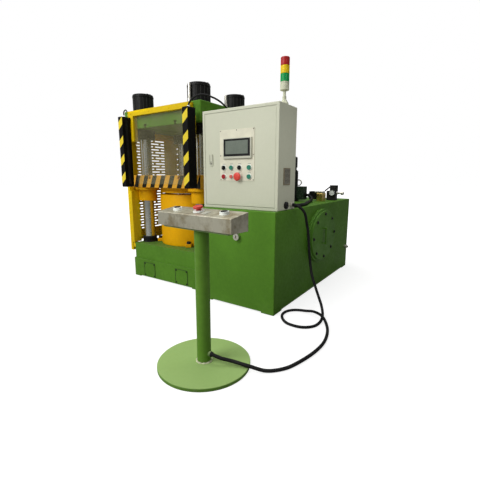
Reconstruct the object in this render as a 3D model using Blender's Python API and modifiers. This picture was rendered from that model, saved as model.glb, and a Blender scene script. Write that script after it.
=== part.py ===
"""Four-column up-stroking hydraulic press with its oil tank, cabinet and two-hand stand.

Metres, +Z up, X to the right along the front, Y towards the back. The origin is on the
floor under the middle of the machine's box.
"""

import math

import bmesh
import bpy
from mathutils import Matrix, Vector

# Fits and facets
touch_gap = 0.0003
slide_gap = 0.0005
turn_gap = 0.0004
merge_gap = 0.00005
overlap_depth = 0.004
wide_sides = 32
round_sides = 20
small_sides = 16
tiny_sides = 8
hexagon_sides = 6
eye_sides = 12
eye_wire_sides = 5
cord_resolution = 2
right_angle = math.pi / 2
full_turn = 2 * math.pi
smooth_angle = math.radians(35)

# Columns, their foot nuts and the collars under the crown
column_spacing_x = 0.78
column_spacing_y = 0.57
column_radius = 0.06
column_top = 1.885
foot_nut_radius = 0.076
foot_nut_height = 0.066
foot_nut_chamfer = 0.006
collar_radius = 0.105
collar_height = 0.094

# Where the stations stand on the floor
guard_reach = 0.143
guard_outer = column_spacing_x / 2 + guard_reach
tank_right = 0.8195
tank_front = -0.386
tank_width = 0.75
tank_depth = 1.868
tank_height = 0.832
press_gap = 0.089
press_x = tank_right - tank_width - press_gap - guard_outer
press_setback = 0.571
press_y = tank_front + press_setback
stand_x = 0.7995
stand_y = -1.206
stand_turn = math.radians(-5)

# Press base
plinth_reach_x = 0.086
plinth_reach_y = 0.164
plinth_width = column_spacing_x + 2 * plinth_reach_x
plinth_depth = column_spacing_y + 2 * plinth_reach_y
plinth_top = 0.205
base_foot_length = 0.09
base_foot_height = 0.01
bed_inset = 0.012
bed_top = 0.373
cover_plate_width = 0.165
cover_plate_height = 0.15
cover_plate_low = 0.022
cover_plate_stand_out = 0.002
cover_plate_left_margin = 0.166
cover_plate_left_x = cover_plate_left_margin - plinth_width / 2
cover_plate_right_margin = 0.311
cover_plate_right_x = plinth_width / 2 - cover_plate_right_margin
cover_screw_radius = 0.006
cover_screw_inset = 0.012
cover_screw_height = 0.0025

# Crown
crown_reach_x = 0.14
crown_reach_y = 0.141
crown_width = column_spacing_x + 2 * crown_reach_x
crown_depth = column_spacing_y + 2 * crown_reach_y
crown_bottom = 1.577
crown_top = 1.76
crown_edge = 0.006
slot_spacing = 0.42
slot_mouth = 0.018
slot_head = 0.036
slot_mouth_depth = 0.02
slot_head_depth = 0.018

# Caps over the column nuts
cap_radius = 0.105
cap_top = 1.932
cap_lip_radius = 0.109
cap_lip_height = 0.012
cap_lip_drop = 0.018
cap_bore_radius = 0.075
cap_roof = 0.02
cap_edge = 0.005
cap_boss_radius = 0.009
cap_boss_height = 0.009
cap_boss_offset = 0.07

# Rods standing on the crown
rod_radius = 0.012
rod_top = 1.918
rod_tip = 0.008
front_rod_side_margin = 0.145
front_rod_x = crown_width / 2 - front_rod_side_margin
front_rod_front_margin = 0.018
front_rod_y = front_rod_front_margin - crown_depth / 2
rear_rod_top = 1.866
rear_rod_side_margin = 0.022
rear_rod_x = crown_width / 2 - rear_rod_side_margin
rear_rod_y = -0.03

# Main cylinder, ram and ram plate
column_clearance = 0.143
cylinder_radius = math.hypot(column_spacing_x, column_spacing_y) / 2 - column_clearance
cylinder_top = 0.909
cylinder_floor = 0.05
cylinder_edge = 0.008
gland_ring_inset = 0.055
gland_ring_radius = cylinder_radius - gland_ring_inset
gland_ring_height = 0.006
cylinder_wall = 0.09
ram_radius = cylinder_radius - cylinder_wall
ram_reach = 0.46
ram_plate_inset = 0.005
ram_plate_radius = cylinder_radius - ram_plate_inset
ram_plate_bottom = 0.927
ram_plate_groove = 0.004
ram_boss_radius = 0.01
ram_boss_angle = math.radians(-72)
ram_boss_inset = 0.017
ram_boss_offset = ram_plate_radius - ram_boss_inset
ram_boss_length = 0.012
lug_count = 4
lug_turn = math.radians(-54)
lug_length = 0.052
lug_reach = cylinder_radius + lug_length
lug_width = 0.062
lug_height = 0.036
lug_bolt_radius = 0.021
lug_bolt_height = 0.024
lug_bolt_stand_off = 0.026
lug_bolt_offset = cylinder_radius + lug_bolt_stand_off
lug_socket_radius = 0.011
lug_socket_depth = 0.012

# Moving platen and its guide bushes
platen_reach_x = 0.1
platen_reach_y = 0.121
platen_width = column_spacing_x + 2 * platen_reach_x
platen_depth = column_spacing_y + 2 * platen_reach_y
platen_bottom = 0.98
platen_top = 1.108
platen_edge = 0.004
bush_radius = 0.096
bush_bottom = 0.836
bush_flange_radius = 0.128
bush_flange_height = 0.026
bush_edge = 0.003
platen_bore_radius = 0.0625

# Front guard frame, clear screen and light curtain boxes
frame_bar = 0.05
frame_top = 1.745
frame_left_overlap = 0.023
frame_left = column_spacing_x / 2 + frame_left_overlap
frame_right_overlap = 0.052
frame_right = column_spacing_x / 2 + frame_right_overlap
frame_leg_width = 0.08
frame_leg_length = 0.295
screen_thickness = 0.006
screen_bottom = 1.02
screen_inset = 0.018
curtain_width = 0.064
curtain_depth = 0.104
curtain_bottom = 0.99
curtain_top = 1.681
curtain_left_offset = 0.038
curtain_left_x = -column_spacing_x / 2 - curtain_left_offset
curtain_right_offset = 0.064
curtain_right_x = column_spacing_x / 2 + curtain_right_offset
curtain_edge = 0.003
curtain_arm_thickness = 0.004
curtain_arm_low = 1.06
curtain_arm_high = 1.62
curtain_arm_overlap = 0.03

# Slotted side and back guards
guard_post_width = 0.035
guard_post_depth = 0.06
guard_front_reach = 0.156
guard_front_y = -column_spacing_y / 2 - guard_front_reach
guard_back_reach = 0.244
guard_back_y = column_spacing_y / 2 + guard_back_reach
guard_bottom = 0.285
guard_top = crown_bottom - touch_gap
guard_rail = 0.05
guard_low_rail = 0.39
guard_sheet = 0.004
guard_strip_width = 0.062
guard_strip_depth = 0.1
guard_strip_bottom = 0.376
guard_strip_top = 0.945
right_guard_setback = 0.135
right_guard_front_y = right_guard_setback - column_spacing_y / 2
back_guard_post = 0.05
back_guard_bottom = 0.43
back_guard_rise = 0.03
back_guard_top = crown_bottom + back_guard_rise
standoff_height = 0.05
standoff_length = 0.06
slot_length = 0.14
long_slot_length = 0.3
slot_gap = 0.031
slot_height = 0.013
slot_pitch = 0.0318
slot_top = 1.503
front_field_margin = 0.145
front_field_start = guard_front_y + front_field_margin
front_field_end = 0.114
rear_field_reach = 0.208
rear_field_start = guard_back_y - rear_field_reach
rear_field_margin = 0.104
rear_field_end = guard_back_y - rear_field_margin
left_slot_rows = 32
other_slot_rows = 8

# Oil tank
tank_foot_height = 0.012
tank_front_foot = 0.118
tank_side_foot = 0.14
tank_edge = 0.004
cover_setback = 0.935
cover_y = tank_front + cover_setback
cover_rise = 0.109
cover_margin = 0.156
cover_z = tank_height / 2 + cover_rise
cover_half_length = 0.34
cover_half_height = tank_height / 2 - cover_margin
cover_thickness = 0.03
cover_lid_share = 0.93
cover_lid_thickness = 0.018
cover_bolt_share = 0.81
cover_bolt_count = 8
cover_bolt_radius = 0.013
cover_bolt_height = 0.01
cover_handle_radius = 0.0075
cover_grip_radius = 0.008
cover_handle_shift = 0.03
cover_handle_length = 0.165
cover_handle_stand_off = 0.026
drain_margin = 0.09
drain_y = tank_front + tank_depth - drain_margin
drain_z = 0.26
drain_radius = 0.024
drain_length = 0.025
drain_square = 0.022
front_plug_inset = 0.347
front_plug_x = tank_right - front_plug_inset
front_plug_drop = 0.22
front_plug_z = tank_height - front_plug_drop
front_plug_radius = 0.028
front_plug_length = 0.03
front_plug_slot = 0.012

# Pump motor and valves on the tank
motor_inset = 0.5
motor_x = tank_right - motor_inset
motor_setback = 1.12
motor_y = tank_front + motor_setback
motor_radius = 0.146
motor_height = 0.473
motor_top = tank_height + motor_height
motor_foot_radius = 0.16
motor_foot_height = 0.02
motor_cowl_height = 0.115
motor_cowl_radius = 0.135
motor_neck_height = 0.025
motor_neck_radius = 0.128
motor_edge = 0.008
terminal_reach = 0.112
terminal_offset = 0.056
terminal_length = 0.108
terminal_width = 0.11
terminal_lift = 0.018
terminal_low = tank_height + terminal_lift
terminal_height = 0.14
terminal_high = terminal_low + terminal_height
lifting_eye_radius = 0.029
lifting_eye_wire = 0.006
lifting_eye_reach = 0.146
lifting_eye_lift = 0.04
valve_inset = 0.105
valve_right_x = tank_right - valve_inset
valve_setback = 1.288
valve_y = tank_front + valve_setback
valve_block_length = 0.066
valve_block_width = 0.1
valve_block_height = 0.106
solenoid_length = 0.112
solenoid_width = 0.056
solenoid_lift = 0.018
solenoid_low = tank_height + solenoid_lift
solenoid_height = 0.086
solenoid_high = solenoid_low + solenoid_height
relief_inset = 0.094
relief_x = tank_right - relief_inset
relief_setback = 1.501
relief_y = tank_front + relief_setback
relief_length = 0.1
relief_width = 0.07
relief_height = 0.104
relief_knob_lift = 0.08
relief_knob_z = tank_height + relief_knob_lift
relief_knob_radius = 0.014
relief_knob_length = 0.082
relief_grip_radius = 0.019
relief_grip_length = 0.03
bracket_left_inset = 0.0355
bracket_reach = 0.0245
bracket_height = 0.064
bracket_thickness = 0.012
bracket_arm_length = 0.078
bracket_arm_drop = 0.015
bracket_arm_turn = math.radians(39)
gauge_shift = 0.016
gauge_drop = 0.02
gauge_radius = 0.034
gauge_thickness = 0.022
gauge_rim = 0.004
gauge_recess = 0.004
tank_hose_radius = 0.015
tank_hose_drop = 0.053

# Electrical cabinet
cabinet_left_margin = 0.005
cabinet_left = tank_right - tank_width + cabinet_left_margin
cabinet_setback = 0.052
cabinet_front = tank_front + cabinet_setback
cabinet_right_margin = 0.013
cabinet_width = tank_width - cabinet_left_margin - cabinet_right_margin
cabinet_depth = 0.299
cabinet_height = 0.8
cabinet_edge = 0.003
door_margin = 0.026
door_thickness = 0.022
door_gap = 0.0025
door_edge = 0.002
lock_inset = 0.092
lock_x = cabinet_left + lock_inset
lock_rise = 0.4
lock_z = tank_height + lock_rise
lock_width = 0.038
lock_height = 0.105
lock_thickness = 0.006
plate_inset = 0.186
plate_left = cabinet_left + plate_inset
plate_width = 0.337
plate_right = plate_left + plate_width
plate_rise = 0.23
plate_low = tank_height + plate_rise
plate_height = 0.404
plate_high = plate_low + plate_height
plate_thickness = 0.003
screen_unit_left_margin = 0.043
screen_unit_left = plate_left + screen_unit_left_margin
screen_unit_right_margin = 0.022
screen_unit_right = plate_right - screen_unit_right_margin
screen_unit_rise = 0.176
screen_unit_low = plate_low + screen_unit_rise
screen_unit_drop = 0.068
screen_unit_high = plate_high - screen_unit_drop
screen_unit_thickness = 0.014
screen_unit_rim = 0.02
screen_unit_recess = 0.003
vent_setback = 0.136
vent_y = cabinet_front + vent_setback
vent_rise = 0.264
vent_z = tank_height + vent_rise
vent_width = 0.108
vent_height = 0.13
vent_thickness = 0.008
side_plug_setback = 0.133
side_plug_y = cabinet_front + side_plug_setback
side_plug_rise = 0.039
side_plug_z = tank_height + side_plug_rise
side_plug_radius = 0.028
side_plug_thickness = 0.006
gland_setback = 0.225
gland_y = cabinet_front + gland_setback
gland_rise = 0.037
gland_z = tank_height + gland_rise
gland_radius = 0.02
gland_length = 0.02
gland_edge = 0.005

# Operating devices on the door
device_radius = 0.0225
device_wall = 0.003
device_ring_height = 0.006
device_length = 0.014
device_stroke = 0.004
device_sides = 12
device_flat_share = math.cos(math.pi / device_sides)
upper_row_rise = 0.105
upper_row_z = plate_low + upper_row_rise
lower_row_rise = 0.034
lower_row_z = plate_low + lower_row_rise
first_device_inset = 0.041
first_device_x = plate_left + first_device_inset
second_device_inset = 0.118
second_device_x = plate_left + second_device_inset
third_device_inset = 0.198
third_device_x = plate_left + third_device_inset
fourth_device_inset = 0.291
fourth_device_x = plate_left + fourth_device_inset
stop_device_inset = 0.188
stop_device_x = plate_left + stop_device_inset
small_device_radius = 0.019
selector_grip_width = 0.009
selector_grip_height = 0.03
selector_grip_length = 0.014
stop_radius = 0.033
stop_length = 0.032
stop_neck_radius = 0.013
stop_head_thickness = 0.016
stop_edge = 0.004
stop_ring_radius = 0.024

# Signal lamp
lamp_inset = 0.037
lamp_x = cabinet_left + cabinet_width - lamp_inset
lamp_setback = 0.143
lamp_y = cabinet_front + lamp_setback
lamp_foot_radius = 0.032
lamp_foot_height = 0.01
lamp_dome_height = 0.035
lamp_neck_radius = 0.019
lamp_ball_radius = 0.014
lamp_pole_radius = 0.011
lamp_base_rise = 0.101
lamp_base_bottom = tank_height + cabinet_height + lamp_base_rise
lamp_radius = 0.034
lamp_base_height = 0.06
lens_height = 0.057
lens_edge = 0.003

# Two-hand stand
disc_radius = 0.2756
disc_thickness = 0.02
disc_edge = 0.002
tube_radius = 0.0415
weld_ring_radius = 0.05
weld_ring_height = 0.008
mount_plate_width = 0.5
mount_plate_depth = 0.12
mount_plate_thickness = 0.008
console_bottom = 0.82
console_width = 0.575
console_depth = 0.135
console_shift = -0.01
console_front_height = 0.077
console_back_height = 0.1
console_edge = 0.002
palm_left_x = -0.193
palm_right_x = 0.173
palm_row_y = 0.0
console_stop_x = -0.018
palm_collar_radius = 0.024
palm_collar_height = 0.014
palm_collar_wall = 0.004
palm_height = 0.009
palm_stroke = 0.005
console_stop_radius = 0.026
console_stop_collar = 0.03
console_stop_collar_height = 0.008
console_stop_height = 0.034
cable_socket_z = 0.075
cable_socket_radius = 0.016
cable_socket_length = 0.012

# Cables and hoses
cable_end = 0.012
cable_radius = 0.011
cable_step = 0.062
hose_radius = 0.008
thin_hose_radius = 0.006
hose_step = 0.036
cable_fall_shares = [(0.8706, -0.1087, 0.9937), (0.9007, -0.1055, 0.9728), (0.9218, -0.0975, 0.9405),
                     (0.9306, -0.085, 0.9052), (0.9345, -0.059, 0.8228), (0.9405, -0.034, 0.7135),
                     (0.9575, -0.0285, 0.4948), (0.9945, -0.06, 0.3475), (1.0345, -0.083, 0.2532),
                     (1.075, -0.1, 0.1611), (1.107, -0.119, 0.0978), (1.1315, -0.147, 0.0524)]
cable_floor_route = [(1.1505, -0.187, 0.0215), (1.1645, -0.242, 0.0125), (1.1725, -0.312, 0.0115),
                     (1.1625, -0.384, 0.0115), (1.1205, -0.441, 0.0115), (1.0545, -0.466, 0.0115),
                     (0.9685, -0.454, 0.0115), (0.9015, -0.394, 0.0115), (0.8685, -0.32, 0.0115),
                     (0.8765, -0.244, 0.0115), (0.9245, -0.191, 0.0125), (1.0065, -0.177, 0.0195),
                     (1.0835, -0.196, 0.037), (1.1715, -0.25, 0.0385), (1.2455, -0.35, 0.0165),
                     (1.2885, -0.47, 0.0115), (1.3095, -0.605, 0.0115), (1.3015, -0.75, 0.0115),
                     (1.2715, -0.895, 0.0115), (1.2325, -1.001, 0.0115), (1.1595, -1.084, 0.0135),
                     (1.0735, -1.127, 0.0325), (0.9755, -1.157, 0.0465), (0.9135, -1.19, 0.061)]
right_hose_route = [(0, 0, 0.018), (0.01, 0.01, 0.05), (0.05, 0.035, 0.09), (0.1, 0.07, 0.102),
                    (0.13, 0.12, 0.096), (0.145, 0.2, 0.083), (0.15, 0.28, 0.06), (0.155, 0.372, 0.01)]
right_hose_entry = [(0.01, 0.0741, 0.075), (0.015, 0.0541, 0.025), (0.015, 0.0291, 0), (0.015, 0, 0)]
hose_entry_drop = 0.0857
left_hose_route = [(0, 0, 0.018), (-0.015, 0.012, 0.054), (-0.036, 0.053, 0.081), (-0.036, 0.077, 0.051)]
motor_hose_route = [(0.02, 0, 0), (0.06, -0.016, -0.01), (0.104, -0.06, -0.031), (0.123, -0.12, -0.047),
                    (0.137, -0.197, -0.053), (0.18, -0.35, -0.053), (0.226, -0.5, -0.053),
                    (0.238, -0.62, -0.053), (0.23, -0.72, -0.053), (0.222, -0.79, -0.053)]

parts = bpy.data.collections.new("hydraulic_press")
cutters = bpy.data.collections.new("cutters")


def clear_scene():
    """Empties the scene and links the two collections."""
    for old in list(bpy.data.objects):
        bpy.data.objects.remove(old)
    bpy.context.scene.collection.children.link(parts)
    bpy.context.scene.collection.children.link(cutters)


def material(name, colour, roughness, metallic=0.0, alpha=1.0):
    """Returns a Principled material."""
    made = bpy.data.materials.new(name)
    made.use_nodes = True
    shader = made.node_tree.nodes["Principled BSDF"]
    shader.inputs["Base Color"].default_value = (*colour, 1.0)
    shader.inputs["Roughness"].default_value = roughness
    shader.inputs["Metallic"].default_value = metallic
    shader.inputs["Alpha"].default_value = alpha
    made.diffuse_color = (*colour, alpha)
    return made


def place(mesh, name, finish, location=(0, 0, 0), smooth=False):
    """Makes an object of a mesh, in the parts when it has a finish and else in the cutters."""
    made = bpy.data.objects.new(name, mesh)
    made.location = location
    if finish is None:
        cutters.objects.link(made)
        made.hide_render = True
        made.display_type = "WIRE"
    else:
        parts.objects.link(made)
        mesh.materials.append(finish)
        if smooth:
            mesh.shade_smooth()
            mesh.set_sharp_from_angle(angle=smooth_angle)
    return made


def bevelled(made, width, segments=1):
    """Adds a Bevel modifier."""
    if width:
        bevel = made.modifiers.new("edges", "BEVEL")
        bevel.width = width
        bevel.segments = segments
        bevel.limit_method = "ANGLE"
        bevel.harden_normals = False
    return made


def box(name, low, high, finish=None, edge=0):
    """A box between two corners, its origin at its middle."""
    middle = [(a + b) / 2 for a, b in zip(low, high)]
    size = [b - a for a, b in zip(low, high)]
    shape = bmesh.new()
    bmesh.ops.create_cube(shape, size=1)
    bmesh.ops.scale(shape, vec=size, verts=shape.verts)
    mesh = bpy.data.meshes.new(name)
    shape.to_mesh(mesh)
    shape.free()
    return bevelled(place(mesh, name, finish, middle), edge)


def rod(name, centre, radius, length, finish=None, axis="Z", sides=small_sides, stretch=(1, 1)):
    """A cylinder with its middle at a point, along an axis; stretch makes it oval."""
    shape = bmesh.new()
    bmesh.ops.create_cone(shape, cap_ends=True, segments=sides, radius1=radius, radius2=radius, depth=length)
    bmesh.ops.scale(shape, vec=(stretch[0], stretch[1], 1), verts=shape.verts)
    turn = {"X": Matrix.Rotation(right_angle, 3, "Y"), "Y": Matrix.Rotation(right_angle, 3, "X")}
    if axis in turn:
        bmesh.ops.rotate(shape, cent=(0, 0, 0), matrix=turn[axis], verts=shape.verts)
    mesh = bpy.data.meshes.new(name)
    shape.to_mesh(mesh)
    shape.free()
    return place(mesh, name, finish, centre, smooth=finish is not None)


def turned(name, outline, location, finish=None, sides=round_sides, closed=False, axis="Z"):
    """A turned piece: an outline of radius and height, run down its outer side, with a Screw."""
    mesh = bpy.data.meshes.new(name)
    edges = [(i, i + 1) for i in range(len(outline) - 1)]
    if closed:
        edges.append((len(outline) - 1, 0))
    mesh.from_pydata([(r, 0, z) for r, z in outline], edges, [])
    made = place(mesh, name, finish, location)
    screw = made.modifiers.new("turn", "SCREW")
    screw.steps = sides
    screw.render_steps = sides
    screw.angle = full_turn
    screw.use_merge_vertices = True
    screw.merge_threshold = merge_gap
    screw.use_smooth_shade = False
    if axis == "X":
        made.rotation_euler = (0, right_angle, 0)
    if axis == "Y":
        made.rotation_euler = (right_angle, 0, 0)
    return made


def combined(made, other, operation):
    """Adds a Boolean with another object and keeps that one as a hidden cutter."""
    for owner in list(other.users_collection):
        owner.objects.unlink(other)
    cutters.objects.link(other)
    other.hide_render = True
    other.display_type = "WIRE"
    step = made.modifiers.new("shape", "BOOLEAN")
    step.operation = operation
    step.solver = "EXACT"
    step.object = other
    return made


def cut(made, *others):
    """Takes shapes away from an object."""
    for other in others:
        combined(made, other, "DIFFERENCE")
    return made


def joined(made, *others):
    """Welds shapes onto an object."""
    for other in others:
        combined(made, other, "UNION")
    return made


def boxes(name, corners):
    """One cutter made of many separate boxes."""
    shape = bmesh.new()
    for low, high in corners:
        new = bmesh.ops.create_cube(shape, size=1)["verts"]
        bmesh.ops.scale(shape, vec=[b - a for a, b in zip(low, high)], verts=new)
        bmesh.ops.translate(shape, vec=[(a + b) / 2 for a, b in zip(low, high)], verts=new)
    mesh = bpy.data.meshes.new(name)
    shape.to_mesh(mesh)
    shape.free()
    return place(mesh, name, None)


def smooth_route(points, step):
    """Straight ends and, between them, an even step along a smooth curve through the points."""
    knots = [Vector(p) for p in points]
    samples = 24
    dense = []
    for a, b, c, d in zip(knots, knots[1:], knots[2:], knots[3:]):
        for i in range(samples):
            t = i / samples
            dense.append(0.5 * (2 * b + (c - a) * t + (2 * a - 5 * b + 4 * c - d) * t * t
                                + (3 * b - a - 3 * c + d) * t * t * t))
    dense.append(knots[-2])
    lengths = [0.0]
    for a, b in zip(dense, dense[1:]):
        lengths.append(lengths[-1] + (b - a).length)
    count = max(2, round(lengths[-1] / step))
    route = [knots[0]]
    at = 0
    for i in range(count + 1):
        want = lengths[-1] * i / count
        while at < len(lengths) - 2 and lengths[at + 1] < want:
            at += 1
        share = (want - lengths[at]) / (lengths[at + 1] - lengths[at])
        route.append(dense[at].lerp(dense[at + 1], share))
    return route + [knots[-1]]


def hose(name, points, radius, step, finish):
    """A round hose through hand-chosen points."""
    route = smooth_route(points, step)
    curve = bpy.data.curves.new(name, "CURVE")
    curve.dimensions = "3D"
    spline = curve.splines.new("POLY")
    spline.points.add(len(route) - 1)
    for point, at in zip(spline.points, route):
        point.co = (*at, 1)
    curve.bevel_depth = radius
    curve.bevel_resolution = cord_resolution
    curve.use_fill_caps = True
    curve.materials.append(finish)
    made = bpy.data.objects.new(name, curve)
    parts.objects.link(made)
    return made


def around(count, turn=0.0):
    """Angles spread evenly around a circle."""
    return [turn + full_turn * i / count for i in range(count)]


def column_places():
    """The four column axes with the names of their corners."""
    half_x = column_spacing_x / 2
    half_y = column_spacing_y / 2
    return [("front_left", press_x - half_x, press_y - half_y),
            ("front_right", press_x + half_x, press_y - half_y),
            ("rear_left", press_x - half_x, press_y + half_y),
            ("rear_right", press_x + half_x, press_y + half_y)]


def build_base(green):
    """The plinth on four feet, the bed above it and two screwed cover plates on the front."""
    left = press_x - plinth_width / 2
    right = press_x + plinth_width / 2
    front = press_y - plinth_depth / 2
    back = press_y + plinth_depth / 2
    base = box("base", (left, front, 0), (right, back, plinth_top), green)
    bed = box("bed_block", (left + bed_inset, front + bed_inset, plinth_top - overlap_depth),
              (right - bed_inset, back - bed_inset, bed_top))
    joined(base, bed)
    over = overlap_depth
    across = box("foot_gap_x", (left + base_foot_length, front - over, -over),
                 (right - base_foot_length, back + over, base_foot_height))
    along = box("foot_gap_y", (left - over, front + base_foot_length, -over),
                (right + over, back - base_foot_length, base_foot_height))
    cut(base, across, along)
    for tag, offset in (("left", cover_plate_left_x), ("right", cover_plate_right_x)):
        low_x = press_x + offset
        high_x = low_x + cover_plate_width
        high_z = cover_plate_low + cover_plate_height
        plate = box("cover_plate_" + tag, (low_x, front - cover_plate_stand_out, cover_plate_low),
                    (high_x, front + over, high_z))
        joined(base, plate)
        for x in (low_x + cover_screw_inset, high_x - cover_screw_inset):
            for z in (cover_plate_low + cover_screw_inset, high_z - cover_screw_inset):
                length = cover_screw_height + over
                y = front - cover_plate_stand_out - cover_screw_height + length / 2
                joined(base, rod("cover_screw", (x, y, z), cover_screw_radius, length, axis="Y",
                                 sides=tiny_sides))
    return base


def build_cylinder(yellow):
    """The main cylinder, open at the top for the ram, with four bolted lugs on the bed."""
    low = bed_top + touch_gap
    bore = ram_radius + slide_gap
    outline = [(0, low + cylinder_floor), (bore, low + cylinder_floor),
               (bore, cylinder_top + gland_ring_height),
               (gland_ring_radius, cylinder_top + gland_ring_height), (gland_ring_radius, cylinder_top),
               (cylinder_radius - cylinder_edge, cylinder_top),
               (cylinder_radius, cylinder_top - cylinder_edge),
               (cylinder_radius, low), (0, low)]
    body = turned("main_cylinder", outline, (press_x, press_y, 0), yellow, wide_sides)
    for angle in around(lug_count, lug_turn):
        out = Vector((math.cos(angle), math.sin(angle), 0))
        reach = lug_reach - cylinder_radius + overlap_depth * 2
        middle = cylinder_radius - overlap_depth * 2 + reach / 2
        lug = box("lug", (-reach / 2, -lug_width / 2, 0), (reach / 2, lug_width / 2, lug_height))
        lug.rotation_euler = (0, 0, angle)
        lug.location = Vector((press_x, press_y, low + lug_height / 2)) + out * middle
        joined(body, lug)
        top = low + lug_height
        at = Vector((press_x, press_y, 0)) + out * lug_bolt_offset
        bolt = rod("lug_bolt", (at.x, at.y, top + lug_bolt_height / 2 - overlap_depth / 2), lug_bolt_radius,
                   lug_bolt_height + overlap_depth)
        joined(body, bolt)
        socket = rod("lug_socket", (at.x, at.y, top + lug_bolt_height), lug_socket_radius, lug_socket_depth,
                     sides=hexagon_sides)
        cut(body, socket)
    return body


def build_ram(steel):
    """The ram with the round plate that carries the platen."""
    top = platen_bottom - touch_gap
    groove = (top + ram_plate_bottom) / 2
    outline = [(0, top), (ram_plate_radius, top), (ram_plate_radius, groove + ram_plate_groove),
               (ram_plate_radius - ram_plate_groove, groove), (ram_plate_radius, groove - ram_plate_groove),
               (ram_plate_radius, ram_plate_bottom), (ram_radius, ram_plate_bottom),
               (ram_radius, cylinder_top - ram_reach), (0, cylinder_top - ram_reach)]
    ram = turned("ram", outline, (press_x, press_y, 0), steel, wide_sides)
    at = Vector((math.cos(ram_boss_angle), math.sin(ram_boss_angle), 0)) * ram_boss_offset
    boss = rod("ram_boss",
               (press_x + at.x, press_y + at.y, ram_plate_bottom - ram_boss_length / 2 + overlap_depth / 2),
               ram_boss_radius, ram_boss_length + overlap_depth, sides=tiny_sides)
    return joined(ram, boss)


def build_columns(chrome, black, yellow):
    """Columns with foot nut and collar, caps over their top nuts, and flanged guide bushes."""
    low = bed_top + touch_gap
    nut_top = bed_top + foot_nut_height
    collar_top = crown_bottom - touch_gap
    collar_low = crown_bottom - collar_height
    column_outline = [(0, column_top), (column_radius, column_top), (column_radius, collar_top),
                      (collar_radius, collar_top), (collar_radius, collar_low), (column_radius, collar_low),
                      (column_radius, nut_top), (foot_nut_radius - foot_nut_chamfer, nut_top),
                      (foot_nut_radius, nut_top - foot_nut_chamfer), (foot_nut_radius, low), (0, low)]
    cap_low = crown_top + touch_gap
    cap_outline = [(0, cap_top), (cap_radius - cap_edge, cap_top), (cap_radius, cap_top - cap_edge),
                   (cap_radius, cap_top - cap_lip_drop), (cap_lip_radius, cap_top - cap_lip_drop),
                   (cap_lip_radius, cap_top - cap_lip_drop - cap_lip_height),
                   (cap_radius, cap_top - cap_lip_drop - cap_lip_height), (cap_radius, cap_low),
                   (cap_bore_radius, cap_low), (cap_bore_radius, cap_top - cap_roof), (0, cap_top - cap_roof)]
    bore = column_radius + slide_gap
    flange_top = platen_bottom - touch_gap
    flange_low = flange_top - bush_flange_height
    bush_outline = [(bore, flange_top), (bush_flange_radius, flange_top), (bush_flange_radius, flange_low),
                    (bush_radius, flange_low), (bush_radius, bush_bottom + bush_edge),
                    (bush_radius - bush_edge, bush_bottom), (bore, bush_bottom)]
    for corner, x, y in column_places():
        turned("column_" + corner, column_outline, (x, y, 0), chrome)
        cap = turned("cap_" + corner, cap_outline, (x, y, 0), black)
        for side in (-1, 1):
            height = cap_boss_height + overlap_depth
            joined(cap, rod("cap_boss", (x + side * cap_boss_offset, y, cap_top - overlap_depth + height / 2),
                            cap_boss_radius, height, sides=tiny_sides))
        turned("bush_" + corner, bush_outline, (x, y, 0), yellow, closed=True)


def tee_slots(name, low_z, upwards):
    """Cutters for the tee slots that run from front to back, in a top or an underside."""
    way = 1 if upwards else -1
    reach = crown_depth / 2 + overlap_depth
    corners = []
    for side in (-1, 1):
        x = press_x + side * slot_spacing / 2
        mouth = sorted((low_z - way * overlap_depth, low_z + way * (slot_mouth_depth + slot_head_depth / 2)))
        head = sorted((low_z + way * slot_mouth_depth, low_z + way * (slot_mouth_depth + slot_head_depth)))
        corners.append(((x - slot_mouth / 2, press_y - reach, mouth[0]),
                        (x + slot_mouth / 2, press_y + reach, mouth[1])))
        corners.append(((x - slot_head / 2, press_y - reach, head[0]),
                        (x + slot_head / 2, press_y + reach, head[1])))
    return [boxes(name + "_mouths", corners[0::2]), boxes(name + "_heads", corners[1::2])]


def build_crown(green):
    """The fixed crown with two tee slots below and two rods standing on it."""
    half_x = crown_width / 2
    half_y = crown_depth / 2
    crown = box("crown", (press_x - half_x, press_y - half_y, crown_bottom),
                (press_x + half_x, press_y + half_y, crown_top), green, crown_edge)
    length = crown_top - crown_bottom + 2 * overlap_depth
    for _, x, y in column_places():
        cut(crown,
            rod("crown_bore", (x, y, (crown_top + crown_bottom) / 2), column_radius + touch_gap * 2, length,
                       sides=round_sides))
    cut(crown, *tee_slots("crown_slots", crown_bottom, True))
    for x, y, top in ((front_rod_x, front_rod_y, rod_top), (rear_rod_x, rear_rod_y, rear_rod_top)):
        outline = [(0, top), (rod_radius - rod_tip / 2, top), (rod_radius, top - rod_tip),
                   (rod_radius, crown_top - overlap_depth), (0, crown_top - overlap_depth)]
        joined(crown, turned("crown_rod", outline, (press_x + x, press_y + y, 0), None, tiny_sides))
    return crown


def build_platen(yellow):
    """The moving platen, bored for the columns, with tee slots in its top."""
    half_x = platen_width / 2
    half_y = platen_depth / 2
    platen = box("platen", (press_x - half_x, press_y - half_y, platen_bottom),
                 (press_x + half_x, press_y + half_y, platen_top), yellow, platen_edge)
    length = platen_top - platen_bottom + 2 * overlap_depth
    for _, x, y in column_places():
        cut(platen, rod("platen_bore", (x, y, (platen_top + platen_bottom) / 2), platen_bore_radius, length,
                        sides=round_sides))
    cut(platen, *tee_slots("platen_slots", platen_top, False))
    return platen


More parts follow.
